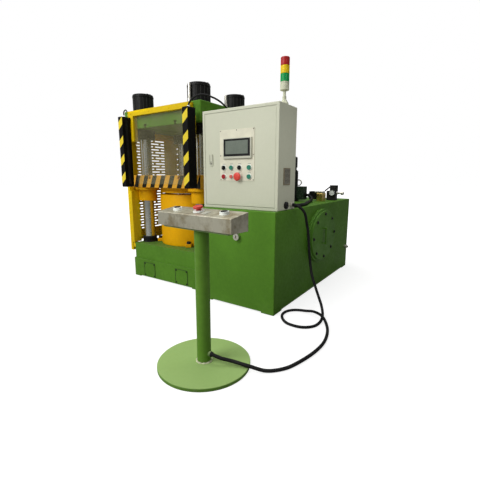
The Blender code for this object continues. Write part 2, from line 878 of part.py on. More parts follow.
def slot_rows(plane, rows, fields, length, low, high):
    """Boxes for rows of long slots in running bond, through a sheet across X or across Y."""
    corners = []
    for row in range(rows):
        top = slot_top - row * slot_pitch
        for start, end in fields:
            shift = 0 if row % 2 == 0 else (length + slot_gap) / 2
            right = end + shift
            while right > start + slot_gap:
                a = max(start, right - length)
                b = min(end, right)
                if b - a > slot_height:
                    if plane == "X":
                        corners.append(((low, a, top - slot_height), (high, b, top)))
                    else:
                        corners.append(((a, low, top - slot_height), (b, high, top)))
                right -= length + slot_gap
    return corners


def build_side_guard(name, side, front, finish, rows, fields, length):
    """A post at each end, a rail at the top and one lower down, and the slotted sheet outside."""
    over = overlap_depth
    outer = press_x + side * guard_outer
    inner = outer - side * guard_post_width
    low_x, high_x = sorted((outer, inner))
    back = press_y + guard_back_y
    guard = box(name, (low_x, front, guard_bottom), (high_x, front + guard_post_depth, guard_top), finish)
    rear = box("rear_post", (low_x, back - guard_post_depth, guard_bottom), (high_x, back, guard_top))
    near = front + guard_post_depth - over
    far = back - guard_post_depth + over
    top_rail = box("top_rail", (low_x, near, guard_top - guard_rail), (high_x, far, guard_top))
    low_rail = box("low_rail", (low_x, near, guard_low_rail), (high_x, far, guard_low_rail + guard_rail))
    sheet_low, sheet_high = sorted((outer, outer - side * guard_sheet))
    sheet = box("sheet", (sheet_low, near, guard_low_rail + over), (sheet_high, far, guard_top - over))
    joined(guard, rear, top_rail, low_rail, sheet)
    bed_side = press_x + side * (plinth_width / 2 - bed_inset + touch_gap)
    block_low, block_high = sorted((bed_side, inner + side * over))
    block_top = bed_top - over
    bed_front = press_y - plinth_depth / 2 + bed_inset + over
    for start in (max(bed_front, front + over * 2), back - guard_post_depth - over - standoff_length):
        joined(guard, box("standoff", (block_low, start, block_top - standoff_height),
                          (block_high, start + standoff_length, block_top)))
        joined(guard, box("standoff_rail", (low_x, start, block_top - standoff_height),
                          (high_x, start + standoff_length, guard_low_rail + over)))
    rows_low = sheet_low - over
    cut(guard, boxes(name + "_slots", slot_rows("X", rows, fields, length, rows_low, sheet_high + over)))
    return guard


def build_guards(yellow, clear, black):
    """The slotted guards, the front frame with its clear screen and the two light curtain boxes."""
    front_field = (press_y + front_field_start, press_y + front_field_end)
    rear_field = (press_y + rear_field_start, press_y + rear_field_end)
    left = build_side_guard("guard_left", -1, press_y + guard_front_y, yellow, left_slot_rows,
                            (front_field, rear_field), slot_length)
    strip_left = press_x - guard_outer
    strip_front = press_y + guard_front_y
    joined(left, box("strip", (strip_left, strip_front, guard_strip_bottom),
                     (strip_left + guard_strip_width, strip_front + guard_strip_depth, guard_strip_top)))
    right_field = (press_y + right_guard_front_y + guard_post_depth + slot_gap, press_y + rear_field_end)
    build_side_guard("guard_right", 1, press_y + right_guard_front_y, yellow, other_slot_rows, (right_field,),
                     long_slot_length)

    inner = guard_outer - guard_post_width - touch_gap
    back = press_y + guard_back_y
    guard = box("guard_back", (press_x - inner, back - back_guard_post, back_guard_bottom),
                (press_x + inner, back, back_guard_top), yellow)
    recess = guard_rail
    over = overlap_depth
    sheet_front = back - back_guard_post / 2
    hollow = [((press_x - inner + recess, back - back_guard_post - over, back_guard_bottom + recess),
               (press_x + inner - recess, sheet_front, back_guard_top - recess)),
              ((press_x - inner + recess, sheet_front + guard_sheet, back_guard_bottom + recess),
               (press_x + inner - recess, back + over, back_guard_top - recess))]
    cut(guard, boxes("back_hollows", hollow))
    field = (press_x - inner + recess + slot_gap, press_x + inner - recess - slot_gap)
    cut(guard, boxes("back_slots", slot_rows("Y", other_slot_rows, (field,), long_slot_length,
                                             sheet_front - over, sheet_front + guard_sheet + over)))

    bar_back = press_y - crown_depth / 2 - touch_gap
    bar_front = bar_back - frame_bar
    left = press_x - frame_left
    right = press_x + frame_right
    frame = box("guard_frame", (left, bar_front, frame_top - frame_bar), (right, bar_back, frame_top), yellow)
    leg_low = frame_top - frame_leg_length
    for start in (left, right - frame_leg_width):
        joined(frame,
               box("leg", (start, bar_front, leg_low), (start + frame_leg_width, bar_back, frame_top - over)))
    arm_front = bar_front - curtain_arm_thickness
    for tag, x, reach in (("left", curtain_left_x, left),
                          ("right", curtain_right_x, right - frame_leg_width)):
        box_x = press_x + x
        arm_low = min(box_x + over, reach + curtain_arm_overlap / 2)
        arm_high = max(box_x + curtain_width - over, reach + curtain_arm_overlap)
        joined(frame, box("arm_" + tag, (arm_low, arm_front, curtain_arm_low),
                          (arm_high, bar_front + touch_gap, curtain_arm_high)))
        box("curtain_" + tag, (box_x, arm_front - touch_gap - curtain_depth, curtain_bottom),
            (box_x + curtain_width, arm_front - touch_gap, curtain_top), black, curtain_edge)

    screen_low = bar_front + screen_inset
    box("screen", (left + frame_leg_width + touch_gap, screen_low, screen_bottom),
        (right - frame_leg_width - touch_gap, screen_low + screen_thickness,
         frame_top - frame_bar - touch_gap), clear)


def build_tank(green, steel):
    """The tall oil tank with its oval cleaning cover and plugs."""
    left = tank_right - tank_width
    back = tank_front + tank_depth
    over = overlap_depth
    tank = box("oil_tank", (left, tank_front, 0), (tank_right, back, tank_height), green, tank_edge)
    cut(tank, box("tank_gap_x", (left + tank_front_foot, tank_front - over, -over),
                  (tank_right - tank_front_foot, back + over, tank_foot_height)))
    cut(tank, box("tank_gap_y", (left - over, tank_front + tank_side_foot, -over),
                  (tank_right + over, back - tank_side_foot, tank_foot_height)))

    stretch = (cover_half_height / cover_half_length, 1)
    x = tank_right + touch_gap
    cover = rod("cleaning_cover", (x + cover_thickness / 2, cover_y, cover_z), cover_half_length,
                cover_thickness, green, "X", wide_sides, stretch)
    lid_thickness = cover_lid_thickness + over
    lid_x = x + cover_thickness - over + lid_thickness / 2
    lid_radius = cover_half_length * cover_lid_share
    joined(cover, rod("lid", (lid_x, cover_y, cover_z), lid_radius, lid_thickness, None, "X", wide_sides,
                      stretch))
    face = x + cover_thickness + cover_lid_thickness
    length = cover_bolt_height + over
    for angle in around(cover_bolt_count):
        y = cover_y + cover_half_length * cover_bolt_share * math.cos(angle)
        z = cover_z + cover_half_height * cover_bolt_share * math.sin(angle)
        bolt_at = (face - over + length / 2, y, z)
        joined(cover, rod("cover_bolt", bolt_at, cover_bolt_radius, length, None, "X", hexagon_sides))
    for side in (-1, 1):
        leg = cover_handle_stand_off + over
        z = cover_z + side * (cover_handle_length / 2 - cover_handle_radius)
        leg_at = (face - over + leg / 2, cover_y - cover_handle_shift, z)
        joined(cover, rod("handle_leg", leg_at, cover_handle_radius, leg, None, "X", tiny_sides))
    bar_at = (face + cover_handle_stand_off, cover_y - cover_handle_shift, cover_z)
    joined(cover, rod("handle_bar", bar_at, cover_grip_radius, cover_handle_length, None, "Z", tiny_sides))

    drain = rod("drain_plug", (tank_right + touch_gap + drain_length / 2, drain_y, drain_z), drain_radius,
                drain_length, steel, "X")
    half = drain_square / 2
    end = tank_right + drain_length - over
    joined(drain, box("drain_square", (end, drain_y - half, drain_z - half),
                      (end + drain_square, drain_y + half, drain_z + half)))
    plug = rod("front_plug", (front_plug_x, tank_front - touch_gap - front_plug_length / 2, front_plug_z),
               front_plug_radius, front_plug_length, steel, "Y")
    half = front_plug_slot / 2
    face_y = tank_front - front_plug_length
    cut(plug, box("plug_slot", (front_plug_x - half, face_y - over, front_plug_z - front_plug_radius / 2),
                  (front_plug_x + half, face_y + front_plug_slot, front_plug_z + front_plug_radius / 2)))


def build_power_unit(black, brass, steel):
    """The pump motor and the valves that stand on the tank."""
    low = tank_height + touch_gap
    over = overlap_depth
    cowl = motor_top - motor_cowl_height
    neck = cowl - motor_neck_height
    outline = [(0, motor_top), (motor_cowl_radius - motor_edge, motor_top),
               (motor_cowl_radius, motor_top - motor_edge), (motor_cowl_radius, cowl),
               (motor_neck_radius, cowl), (motor_neck_radius, neck), (motor_radius - motor_edge, neck),
               (motor_radius, neck - motor_edge), (motor_radius, low + motor_foot_height * 2),
               (motor_foot_radius, low + motor_foot_height), (motor_foot_radius, low), (0, low)]
    motor = turned("pump_motor", outline, (motor_x, motor_y, 0), black, wide_sides)
    half = terminal_width / 2
    start = motor_x + terminal_reach
    middle = motor_y + terminal_offset
    joined(motor, box("terminal_box", (start, middle - half, terminal_low),
                      (start + terminal_length, middle + half, terminal_high)))
    bpy.ops.mesh.primitive_torus_add(major_radius=lifting_eye_radius, minor_radius=lifting_eye_wire,
                                     major_segments=eye_sides, minor_segments=eye_wire_sides)
    eye = bpy.context.object
    eye.name = "lifting_eye"
    eye.rotation_euler = (right_angle, 0, 0)
    eye.location = (motor_x + lifting_eye_reach, middle, terminal_high + lifting_eye_lift)
    joined(motor, eye)

    block_left = valve_right_x - valve_block_length
    half = valve_block_width / 2
    block = box("valve_block", (block_left, valve_y - half, low),
                (valve_right_x, valve_y + half, tank_height + valve_block_height), brass)
    half = solenoid_width / 2
    joined(block, box("solenoid", (block_left - solenoid_length, valve_y - half, solenoid_low),
                      (block_left + over, valve_y + half, solenoid_high)))

    half = relief_width / 2
    front = relief_y - half
    top = tank_height + relief_height
    relief = box("relief_valve", (relief_x - relief_length / 2, front, low),
                 (relief_x + relief_length / 2, relief_y + half, top), black)
    plate_start = relief_x - relief_length / 2 + bracket_left_inset
    joined(relief, box("bracket", (plate_start, front, top - over),
                       (relief_x + relief_length / 2 + bracket_reach, front + bracket_thickness,
                        top + bracket_height)))
    arm = box("bracket_arm", (-bracket_arm_length / 2, -bracket_thickness / 2, -bracket_thickness / 2),
              (bracket_arm_length / 2, bracket_thickness / 2, bracket_thickness / 2))
    arm.rotation_euler = (0, -bracket_arm_turn, 0)
    arm.location = (plate_start + over - bracket_arm_length / 2 * math.cos(bracket_arm_turn),
                    front + bracket_thickness / 2 + touch_gap,
                    top + bracket_height - bracket_arm_drop
                    - bracket_arm_length / 2 * math.sin(bracket_arm_turn))
    joined(relief, arm)
    face = relief_x + relief_length / 2 + touch_gap
    length = relief_knob_length
    knob = [(0, 0), (relief_knob_radius, 0), (relief_knob_radius, -length + relief_grip_length),
            (relief_grip_radius, -length + relief_grip_length), (relief_grip_radius, -length), (0, -length)]
    knob = [(r, -z) for r, z in knob][::-1]
    turned("relief_knob", knob, (face, relief_y, relief_knob_z), steel, tiny_sides, axis="X")

    gauge_x = relief_x + gauge_shift
    gauge_z = top - gauge_drop
    gauge_back = front - touch_gap
    gauge = rod("pressure_gauge", (gauge_x, gauge_back - gauge_thickness / 2, gauge_z), gauge_radius,
                gauge_thickness, steel, "Y", round_sides)
    cut(gauge, rod("gauge_face", (gauge_x, gauge_back - gauge_thickness, gauge_z), gauge_radius - gauge_rim,
                   gauge_recess * 2, None, "Y", round_sides))


def build_cabinet(grey, black):
    """The cabinet on the tank with its door, lock, vent, plug and cable gland."""
    right = cabinet_left + cabinet_width
    low = tank_height + touch_gap
    top = tank_height + cabinet_height
    back = cabinet_front + cabinet_depth
    over = overlap_depth
    body = box("cabinet", (cabinet_left, cabinet_front, low), (right, back, top), grey, cabinet_edge)
    door_left = cabinet_left + door_margin
    door_right = right - door_margin
    door_low = low + door_margin
    door_top = top - door_margin
    gap = door_gap
    cut(body, box("door_seat", (door_left - gap, cabinet_front - over, door_low - gap),
                  (door_right + turn_gap, cabinet_front + door_thickness + gap, door_top + gap)))
    half_y = vent_width / 2
    half_z = vent_height / 2
    joined(body, box("vent", (right - over, vent_y - half_y, vent_z - half_z),
                     (right + vent_thickness, vent_y + half_y, vent_z + half_z)))
    length = side_plug_thickness + over
    joined(body,
           rod("side_plug", (right - over + length / 2, side_plug_y, side_plug_z), side_plug_radius, length,
                     None, "X"))
    box("cabinet_door", (door_left, cabinet_front, door_low),
        (door_right, cabinet_front + door_thickness, door_top), grey, door_edge)
    lock_front = cabinet_front - touch_gap - lock_thickness
    shape = bpy.data.curves.new("door_lock", "CURVE")
    shape.dimensions = "2D"
    shape.fill_mode = "BOTH"
    shape.extrude = lock_thickness / 2
    spline = shape.splines.new("POLY")
    points = []
    straight = lock_height / 2 - lock_width / 2
    for side, start in ((1, 0), (-1, math.pi)):
        for i in range(tiny_sides + 1):
            angle = start + math.pi * i / tiny_sides
            points.append((lock_width / 2 * math.cos(angle),
                           side * straight + lock_width / 2 * math.sin(angle)))
    spline.points.add(len(points) - 1)
    for point, (x, z) in zip(spline.points, points):
        point.co = (x, z, 0, 1)
    spline.use_cyclic_u = True
    lock = bpy.data.objects.new("door_lock", shape)
    lock.rotation_euler = (right_angle, 0, 0)
    lock.location = (lock_x, lock_front + lock_thickness / 2, lock_z)
    shape.materials.append(black)
    parts.objects.link(lock)

    outline = [(0, gland_length), (gland_radius - gland_edge, gland_length),
               (gland_radius, gland_length - gland_edge),
               (gland_radius, 0), (0, 0)]
    turned("cable_gland", outline, (right + touch_gap, gland_y, gland_z), black, tiny_sides, axis="X")


def build_operator_panel(cream, steel, black, green, red):
    """The operator plate, the screen unit and the push buttons, selectors and stop button."""
    face = cabinet_front - touch_gap
    plate_face = face - plate_thickness
    plate = box("operator_plate", (plate_left, plate_face, plate_low), (plate_right, face, plate_high), cream)
    unit_back = plate_face - touch_gap
    unit = box("screen_unit", (screen_unit_left, unit_back - screen_unit_thickness, screen_unit_low),
               (screen_unit_right, unit_back, screen_unit_high), steel, plate_thickness / 2)
    rim = screen_unit_rim
    unit_face = unit_back - screen_unit_thickness
    cut(unit, box("glass_recess", (screen_unit_left + rim, unit_face - overlap_depth, screen_unit_low + rim),
                  (screen_unit_right - rim, unit_face + screen_unit_recess, screen_unit_high - rim / 2)))

    back = unit_back
    devices = (("push_upper_left", second_device_x, upper_row_z, green, device_radius),
               ("push_upper_right", fourth_device_x, upper_row_z, green, device_radius),
               ("push_lower_left", first_device_x, lower_row_z, red, device_radius),
               ("push_lower_middle", second_device_x, lower_row_z, red, small_device_radius),
               ("push_lower_right", fourth_device_x, lower_row_z, green, device_radius),
               ("selector_left", first_device_x, upper_row_z, black, device_radius),
               ("selector_right", third_device_x, upper_row_z, black, device_radius))
    for name, x, z, finish, radius in devices:
        bore = radius - device_wall
        seat_ring(plate, (x, plate_face, z), radius, bore, device_ring_height)
        turns = name.startswith("selector")
        low = turn_gap if turns else device_stroke + turn_gap
        cap = (bore * device_flat_share if turns else bore) - turn_gap
        outline = [(0, device_length), (cap, device_length), (cap, low), (0, low)]
        made = turned(name, outline, (x, back, z), finish, device_sides, axis="Y")
        if turns:
            grip_low = back - device_length - selector_grip_length
            joined(made, box("grip", (x - selector_grip_width / 2, grip_low, z - selector_grip_height / 2),
                             (x + selector_grip_width / 2, back - device_length + overlap_depth,
                              z + selector_grip_height / 2)))
    seat_ring(plate, (stop_device_x, plate_face, lower_row_z), stop_ring_radius, stop_neck_radius + turn_gap,
              device_ring_height)
    stop = stop_outline(stop_radius, stop_length, device_stroke + turn_gap)
    turned("emergency_stop", stop, (stop_device_x, back, lower_row_z), red, device_sides, axis="Y")
    return plate


def seat_ring(plate, at, radius, bore, height):
    """Welds a ring onto the operator plate, in which a device sits."""
    base = -plate_thickness / 2
    outline = [(bore, height), (radius, height), (radius, base), (bore, base)]
    joined(plate, turned("seat_ring", outline, at, None, device_sides, closed=True, axis="Y"))


def stop_outline(radius, length, lift):
    """A mushroom head on a neck, its foot lifted by the stroke."""
    head = length - stop_head_thickness
    return [(0, length), (radius - stop_edge, length), (radius, length - stop_edge), (radius, head),
            (stop_neck_radius, head), (stop_neck_radius, lift), (0, lift)]


def build_signal_lamp(grey, red, amber, green):
    """The signal lamp's stem and its three lenses."""
    low = tank_height + cabinet_height + touch_gap
    neck = low + lamp_foot_height + lamp_dome_height
    base_top = lamp_base_bottom + lamp_base_height
    outline = [(0, base_top), (lamp_radius, base_top), (lamp_radius, lamp_base_bottom),
               (lamp_pole_radius, lamp_base_bottom), (lamp_pole_radius, neck + lamp_ball_radius),
               (lamp_ball_radius, neck), (lamp_neck_radius, neck - lamp_dome_height / 2),
               (lamp_foot_radius, low + lamp_foot_height), (lamp_foot_radius, low), (0, low)]
    turned("lamp_stem", outline, (lamp_x, lamp_y, 0), grey, small_sides)
    bottom = base_top
    for name, finish in (("lens_green", green), ("lens_amber", amber), ("lens_red", red)):
        z = bottom + touch_gap
        top = bottom + lens_height
        outline = [(0, top), (lamp_radius - lens_edge, top), (lamp_radius, top - lens_edge),
                   (lamp_radius, z), (0, z)]
        turned(name, outline, (lamp_x, lamp_y, 0), finish)
        bottom = top


def on_stand(along, depth, height):
    """A point of the turned stand: to its right, towards its back and above the floor."""
    c = math.cos(stand_turn)
    s = math.sin(stand_turn)
    return Vector((stand_x + along * c - depth * s, stand_y + along * s + depth * c, height))


def build_stand(green, steel, black, red):
    """The two-hand stand: disc, tube, mounting plate, sloping console and its buttons."""
    over = overlap_depth
    tube_top = console_bottom - mount_plate_thickness
    outline = [(0, tube_top + over), (tube_radius, tube_top + over),
               (tube_radius, disc_thickness + weld_ring_height),
               (weld_ring_radius, disc_thickness), (disc_radius - disc_edge, disc_thickness),
               (disc_radius, disc_thickness - disc_edge), (disc_radius, 0), (0, 0)]
    stand = turned("stand", outline, (stand_x, stand_y, 0), green, wide_sides)
    plate = box("mount_plate", (-mount_plate_width / 2, -mount_plate_depth / 2, tube_top),
                (mount_plate_width / 2, mount_plate_depth / 2, console_bottom - touch_gap))
    plate.location = (stand_x, stand_y, (tube_top + console_bottom - touch_gap) / 2)
    plate.rotation_euler = (0, 0, stand_turn)
    joined(stand, plate)
    length = cable_socket_length + over * 2
    out = tube_radius - over * 2 + length / 2
    socket = rod("cable_socket", (stand_x + out, stand_y, cable_socket_z), cable_socket_radius, length,
                 None, "X",
                 tiny_sides)
    joined(stand, socket)

    shape = bmesh.new()
    bmesh.ops.create_cube(shape, size=1)
    bmesh.ops.scale(shape, vec=(console_width, console_depth, console_front_height), verts=shape.verts)
    rise = console_back_height - console_front_height
    raised = [v for v in shape.verts if v.co.y > 0 and v.co.z > 0]
    bmesh.ops.translate(shape, vec=(0, 0, rise), verts=raised)
    mesh = bpy.data.meshes.new("console")
    shape.to_mesh(mesh)
    shape.free()
    console = place(mesh, "console", steel,
                    on_stand(console_shift, 0, console_bottom + console_front_height / 2))
    console.rotation_euler = (0, 0, stand_turn)
    bevelled(console, console_edge)

    slope = math.atan2(rise, console_depth)
    tilt = Matrix.Rotation(stand_turn, 3, "Z") @ Matrix.Rotation(slope, 3, "X")
    normal = tilt @ Vector((0, 0, 1))
    middle_height = console_bottom + (console_front_height + console_back_height) / 2
    face = middle_height + palm_row_y * math.tan(slope)
    for along in (palm_left_x, palm_right_x):
        radius = palm_collar_radius
        bore = palm_collar_radius - palm_collar_wall
        at = on_stand(along, palm_row_y, face)
        ring = [(bore, palm_collar_height), (radius, palm_collar_height), (radius, -over), (bore, -over)]
        collar = turned("palm_collar", ring, at, None, small_sides, closed=True)
        collar.rotation_euler = tilt.to_euler()
        joined(console, collar)
    at = on_stand(console_stop_x, palm_row_y, face)
    bore = stop_neck_radius + turn_gap
    ring = [(bore, console_stop_collar_height), (console_stop_collar, console_stop_collar_height),
            (console_stop_collar, -over), (bore, -over)]
    collar = turned("stop_collar", ring, at, None, small_sides, closed=True)
    collar.rotation_euler = tilt.to_euler()
    joined(console, collar)

    palm_radius = palm_collar_radius - palm_collar_wall - turn_gap
    for name, along in (("palm_left", palm_left_x), ("palm_right", palm_right_x)):
        base = palm_stroke + touch_gap
        outline = [(0, base + palm_height), (palm_radius - touch_gap * 4, base + palm_height),
                   (palm_radius, base + palm_height - touch_gap * 4), (palm_radius, base), (0, base)]
        button = turned(name, outline, on_stand(along, palm_row_y, face), black, small_sides)
        button.rotation_euler = tilt.to_euler()
    outline = stop_outline(console_stop_radius, console_stop_height, palm_stroke + turn_gap)
    button = turned("console_stop", outline, on_stand(console_stop_x, palm_row_y, face), red, small_sides)
    button.rotation_euler = tilt.to_euler()
    return normal


def moved(start, offsets):
    """A start point and the points that lie at offsets from it."""
    return [Vector(start)] + [Vector(start) + Vector(offset) for offset in offsets]


def build_hoses(black):
    """The hoses that the machine holds and the cable that lies on the floor."""
    box_top = curtain_top + touch_gap
    bar_front = press_y - crown_depth / 2 - touch_gap - frame_bar
    middle_y = bar_front - curtain_arm_thickness - curtain_depth / 2
    end = Vector((press_x - frame_left - touch_gap, bar_front + frame_bar / 2, frame_top - frame_bar / 2))
    start = (press_x + curtain_left_x + curtain_width / 2, middle_y, box_top)
    route = moved(start, left_hose_route)
    hose("hose_left", route + [end - Vector((cable_end, 0, 0)), end], thin_hose_radius, hose_step, black)

    back = cabinet_front + cabinet_depth + touch_gap
    start = (press_x + curtain_right_x + curtain_width / 2, middle_y, box_top)
    entry_z = tank_height + cabinet_height - hose_entry_drop
    route = moved(start, right_hose_route)
    last = route[-1].x
    ends = [Vector((last + shift, back + reach, entry_z + rise)) for shift, reach, rise in right_hose_entry]
    hose("hose_right", route + ends, hose_radius, hose_step, black)

    start = (motor_x + terminal_reach + terminal_length + touch_gap, motor_y + terminal_offset,
             tank_height + tank_hose_radius + touch_gap * 2 + tank_hose_drop)
    route = moved(start, motor_hose_route)
    hose("tank_hose", route + [Vector((route[-1].x, back, route[-1].z))], tank_hose_radius, hose_step, black)

    start = Vector((cabinet_left + cabinet_width + touch_gap * 2 + gland_length, gland_y, gland_z))
    end = Vector((stand_x + tube_radius + cable_socket_length + touch_gap, stand_y, cable_socket_z))
    straight = Vector((cable_end, 0, 0))
    route = [(x, y, gland_z * share) for x, y, share in cable_fall_shares] + cable_floor_route
    hose("cable", [start, start + straight] + route + [end + straight, end], cable_radius, cable_step, black)


def build_press():
    """Builds the whole machine."""
    clear_scene()
    green = material("green_paint", (0.09, 0.24, 0.06), 0.45)
    yellow = material("yellow_paint", (0.85, 0.5, 0.02), 0.4)
    chrome = material("chrome", (0.62, 0.62, 0.62), 0.18, 1.0)
    steel = material("brushed_steel", (0.55, 0.54, 0.5), 0.38, 1.0)
    black = material("black_metal", (0.02, 0.02, 0.022), 0.45, 0.3)
    rubber = material("black_rubber", (0.015, 0.015, 0.016), 0.6)
    grey = material("grey_paint", (0.62, 0.62, 0.54), 0.5)
    cream = material("cream_sheet", (0.78, 0.74, 0.58), 0.45)
    clear = material("clear_sheet", (0.8, 0.85, 0.8), 0.08, 0.0, 0.2)
    red = material("red_plastic", (0.6, 0.03, 0.03), 0.35)
    amber = material("amber_plastic", (0.9, 0.5, 0.03), 0.3)
    lamp_green = material("green_plastic", (0.03, 0.4, 0.15), 0.3)
    brass = material("brass", (0.7, 0.5, 0.2), 0.35, 1.0)
    build_base(green)
    build_cylinder(yellow)
    build_ram(steel)
    build_columns(chrome, black, yellow)
    build_crown(green)
    build_platen(yellow)
    build_guards(yellow, clear, black)
    build_tank(green, steel)
    build_power_unit(black, brass, steel)
    build_cabinet(grey, black)
    build_operator_panel(cream, steel, black, lamp_green, red)
    build_signal_lamp(grey, red, amber, lamp_green)
    build_stand(green, steel, black, red)
    build_hoses(rubber)


build_press()
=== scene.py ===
"""Finishes, fine pieces, light and camera of the four-column hydraulic press.

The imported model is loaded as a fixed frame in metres. Every finish is made of shader nodes, and
every piece is built in mesh code or as a curve and rides on a body of the frame.
"""

import logging
import math
from dataclasses import dataclass, field
from enum import Enum

import bmesh
import bpy
from bpy.types import Material, Node, NodeSocket, NodeTree, Object
from mathutils import Matrix, Vector


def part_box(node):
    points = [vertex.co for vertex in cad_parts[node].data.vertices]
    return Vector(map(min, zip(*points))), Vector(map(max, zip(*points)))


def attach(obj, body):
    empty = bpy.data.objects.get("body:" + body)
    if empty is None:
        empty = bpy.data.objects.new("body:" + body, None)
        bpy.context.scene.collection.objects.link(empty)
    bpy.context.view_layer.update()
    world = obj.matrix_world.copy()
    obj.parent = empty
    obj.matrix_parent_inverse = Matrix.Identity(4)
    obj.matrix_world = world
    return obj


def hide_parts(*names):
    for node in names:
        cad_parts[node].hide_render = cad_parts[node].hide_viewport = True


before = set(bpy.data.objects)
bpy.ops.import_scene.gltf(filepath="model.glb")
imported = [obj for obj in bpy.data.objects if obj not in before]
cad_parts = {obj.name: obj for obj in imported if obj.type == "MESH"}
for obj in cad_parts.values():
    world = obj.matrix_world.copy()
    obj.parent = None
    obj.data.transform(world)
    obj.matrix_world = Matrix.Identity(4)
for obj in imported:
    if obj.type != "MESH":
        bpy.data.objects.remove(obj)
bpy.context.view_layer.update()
log = logging.getLogger("hydraulic_press")

Point = tuple[float, float, float]
Colour = tuple[float, float, float]
Profile = list[tuple[float, float]]

ROOT = "machine"
CORNERS = ("front_left", "front_right", "rear_left", "rear_right")
SKIN = 0.0003
STAND_AT = (0.7995, -1.206, 0.0)
TUBE_RADIUS = 0.0415
CABLE_HEIGHT = 0.075
FULL_TURN = 2 * math.pi
WHITE = (1.0, 1.0, 1.0)


class Axis(Enum):
    """A direction for a round shape's +Z, as degrees of turn about a main axis."""

    X = (90, "Y")
    Y = (-90, "X")
    Z = (0, "Z")
    FRONT = (90, "X")
    LEFT = (-90, "Y")

    def turn(self) -> Matrix:
        """Gives the rotation that lays +Z along this axis.

        Returns:
            A 3 by 3 rotation matrix.
        """
        degrees, about = self.value
        return Matrix.Rotation(math.radians(degrees), 3, about)


class Slot(Enum):
    """The record's material slots."""

    GREEN = "green_paint"
    YELLOW = "yellow_paint"
    GREY = "grey_paint"
    CHROME = "hard_chrome"
    STEEL = "machined_steel"
    BLACK = "black_metal"
    BLACK_PLASTIC = "black_plastic"
    RUBBER = "rubber"
    CLEAR = "clear_sheet"
    BRASS = "brass"
    CREAM = "cream_sheet"
    GREEN_PLASTIC = "green_plastic"
    RED_PLASTIC = "red_plastic"
    GREY_PLASTIC = "grey_plastic"
    GREEN_LENS = "green_lens"
    AMBER_LENS = "amber_lens"
    RED_LENS = "red_lens"


class Wiring:
    """Adds nodes to a node tree and links them."""

    def __init__(self, tree: NodeTree) -> None:
        """Keeps the tree.

        Args:
            tree: The node tree to add to.
        """
        self.tree = tree

    def fill(self, node: Node, links: dict[str | int, object]) -> Node:
        """Feeds a node's inputs.

        Args:
            node: The node.
            links: Values, colours or output sockets for its inputs, by name or number.

        Returns:
            The node.
        """
        for key, value in links.items():
            socket = node.inputs[key]
            if isinstance(value, NodeSocket):
                self.tree.links.new(value, socket)
            else:
                socket.default_value = (*value, 1.0) if socket.type == "RGBA" else value
        return node

    def add(self, kind: str, links: dict[str | int, object] | None = None, **settings: object) -> Node:
        """Adds a node.

        Args:
            kind: The node's type, such as ShaderNodeMath.
            links: What feeds its inputs.
            settings: Properties to set on the node.

        Returns:
            The new node.
        """
        node = self.tree.nodes.new(kind)
        for key, value in settings.items():
            setattr(node, key, value)
        return self.fill(node, links or {})

    def maths(self, operation: str, *values: object) -> NodeSocket:
        """Adds a Math node.

        Args:
            operation: The operation's name, such as MULTIPLY.
            values: Numbers or sockets for its inputs.

        Returns:
            The node's output.
        """
        return self.add("ShaderNodeMath", dict(enumerate(values)), operation=operation).outputs[0]

    def line(self, value: object, factor: object, offset: object = 0.0) -> NodeSocket:
        """Multiplies a value and adds an offset.

        Args:
            value: The number or socket to change.
            factor: What it is multiplied by.
            offset: What is added.

        Returns:
            The changed value.
        """
        return self.maths("MULTIPLY_ADD", value, factor, offset)

    def noise(self, vector: object, scale: object, detail: float = 3.0, rough: float = 0.55) -> NodeSocket:
        """Adds a Noise texture.

        Args:
            vector: The socket that gives the place.
            scale: How many waves to a metre.
            detail: The octaves.
            rough: The weight of the fine octaves.

        Returns:
            The noise value, about 0.3 to 0.7.
        """
        links = {"Vector": vector, "Scale": scale, "Detail": detail, "Roughness": rough}
        return self.add("ShaderNodeTexNoise", links).outputs["Fac"]

    def ramp(self, value: object, low: object, high: object) -> NodeSocket:
        """Maps a value smoothly from low to high onto 0 to 1.

        Args:
            value: The socket to map.
            low: The value that becomes 0.
            high: The value that becomes 1.

        Returns:
            The mapped value.
        """
        links = {"Value": value, "From Min": low, "From Max": high}
        return self.add("ShaderNodeMapRange", links, interpolation_type="SMOOTHSTEP").outputs[0]

    def mix(self, factor: object, first: object, second: object, blend: str = "MIX") -> NodeSocket:
        """Mixes two colours.

        Args:
            factor: The second colour's share.
            first: The first colour or a socket.
            second: The second colour or a socket.
            blend: How they are mixed.

        Returns:
            The mixed colour.
        """
        links = {0: factor, 6: first, 7: second}
        return self.add("ShaderNodeMix", links, data_type="RGBA", blend_type=blend).outputs[2]

    def axes(self, vector: NodeSocket) -> dict[str, NodeSocket]:
        """Takes a vector apart.

        Args:
            vector: The vector's socket.

        Returns:
            Its parts by the names X, Y and Z.
        """
        return self.add("ShaderNodeSeparateXYZ", {0: vector}).outputs


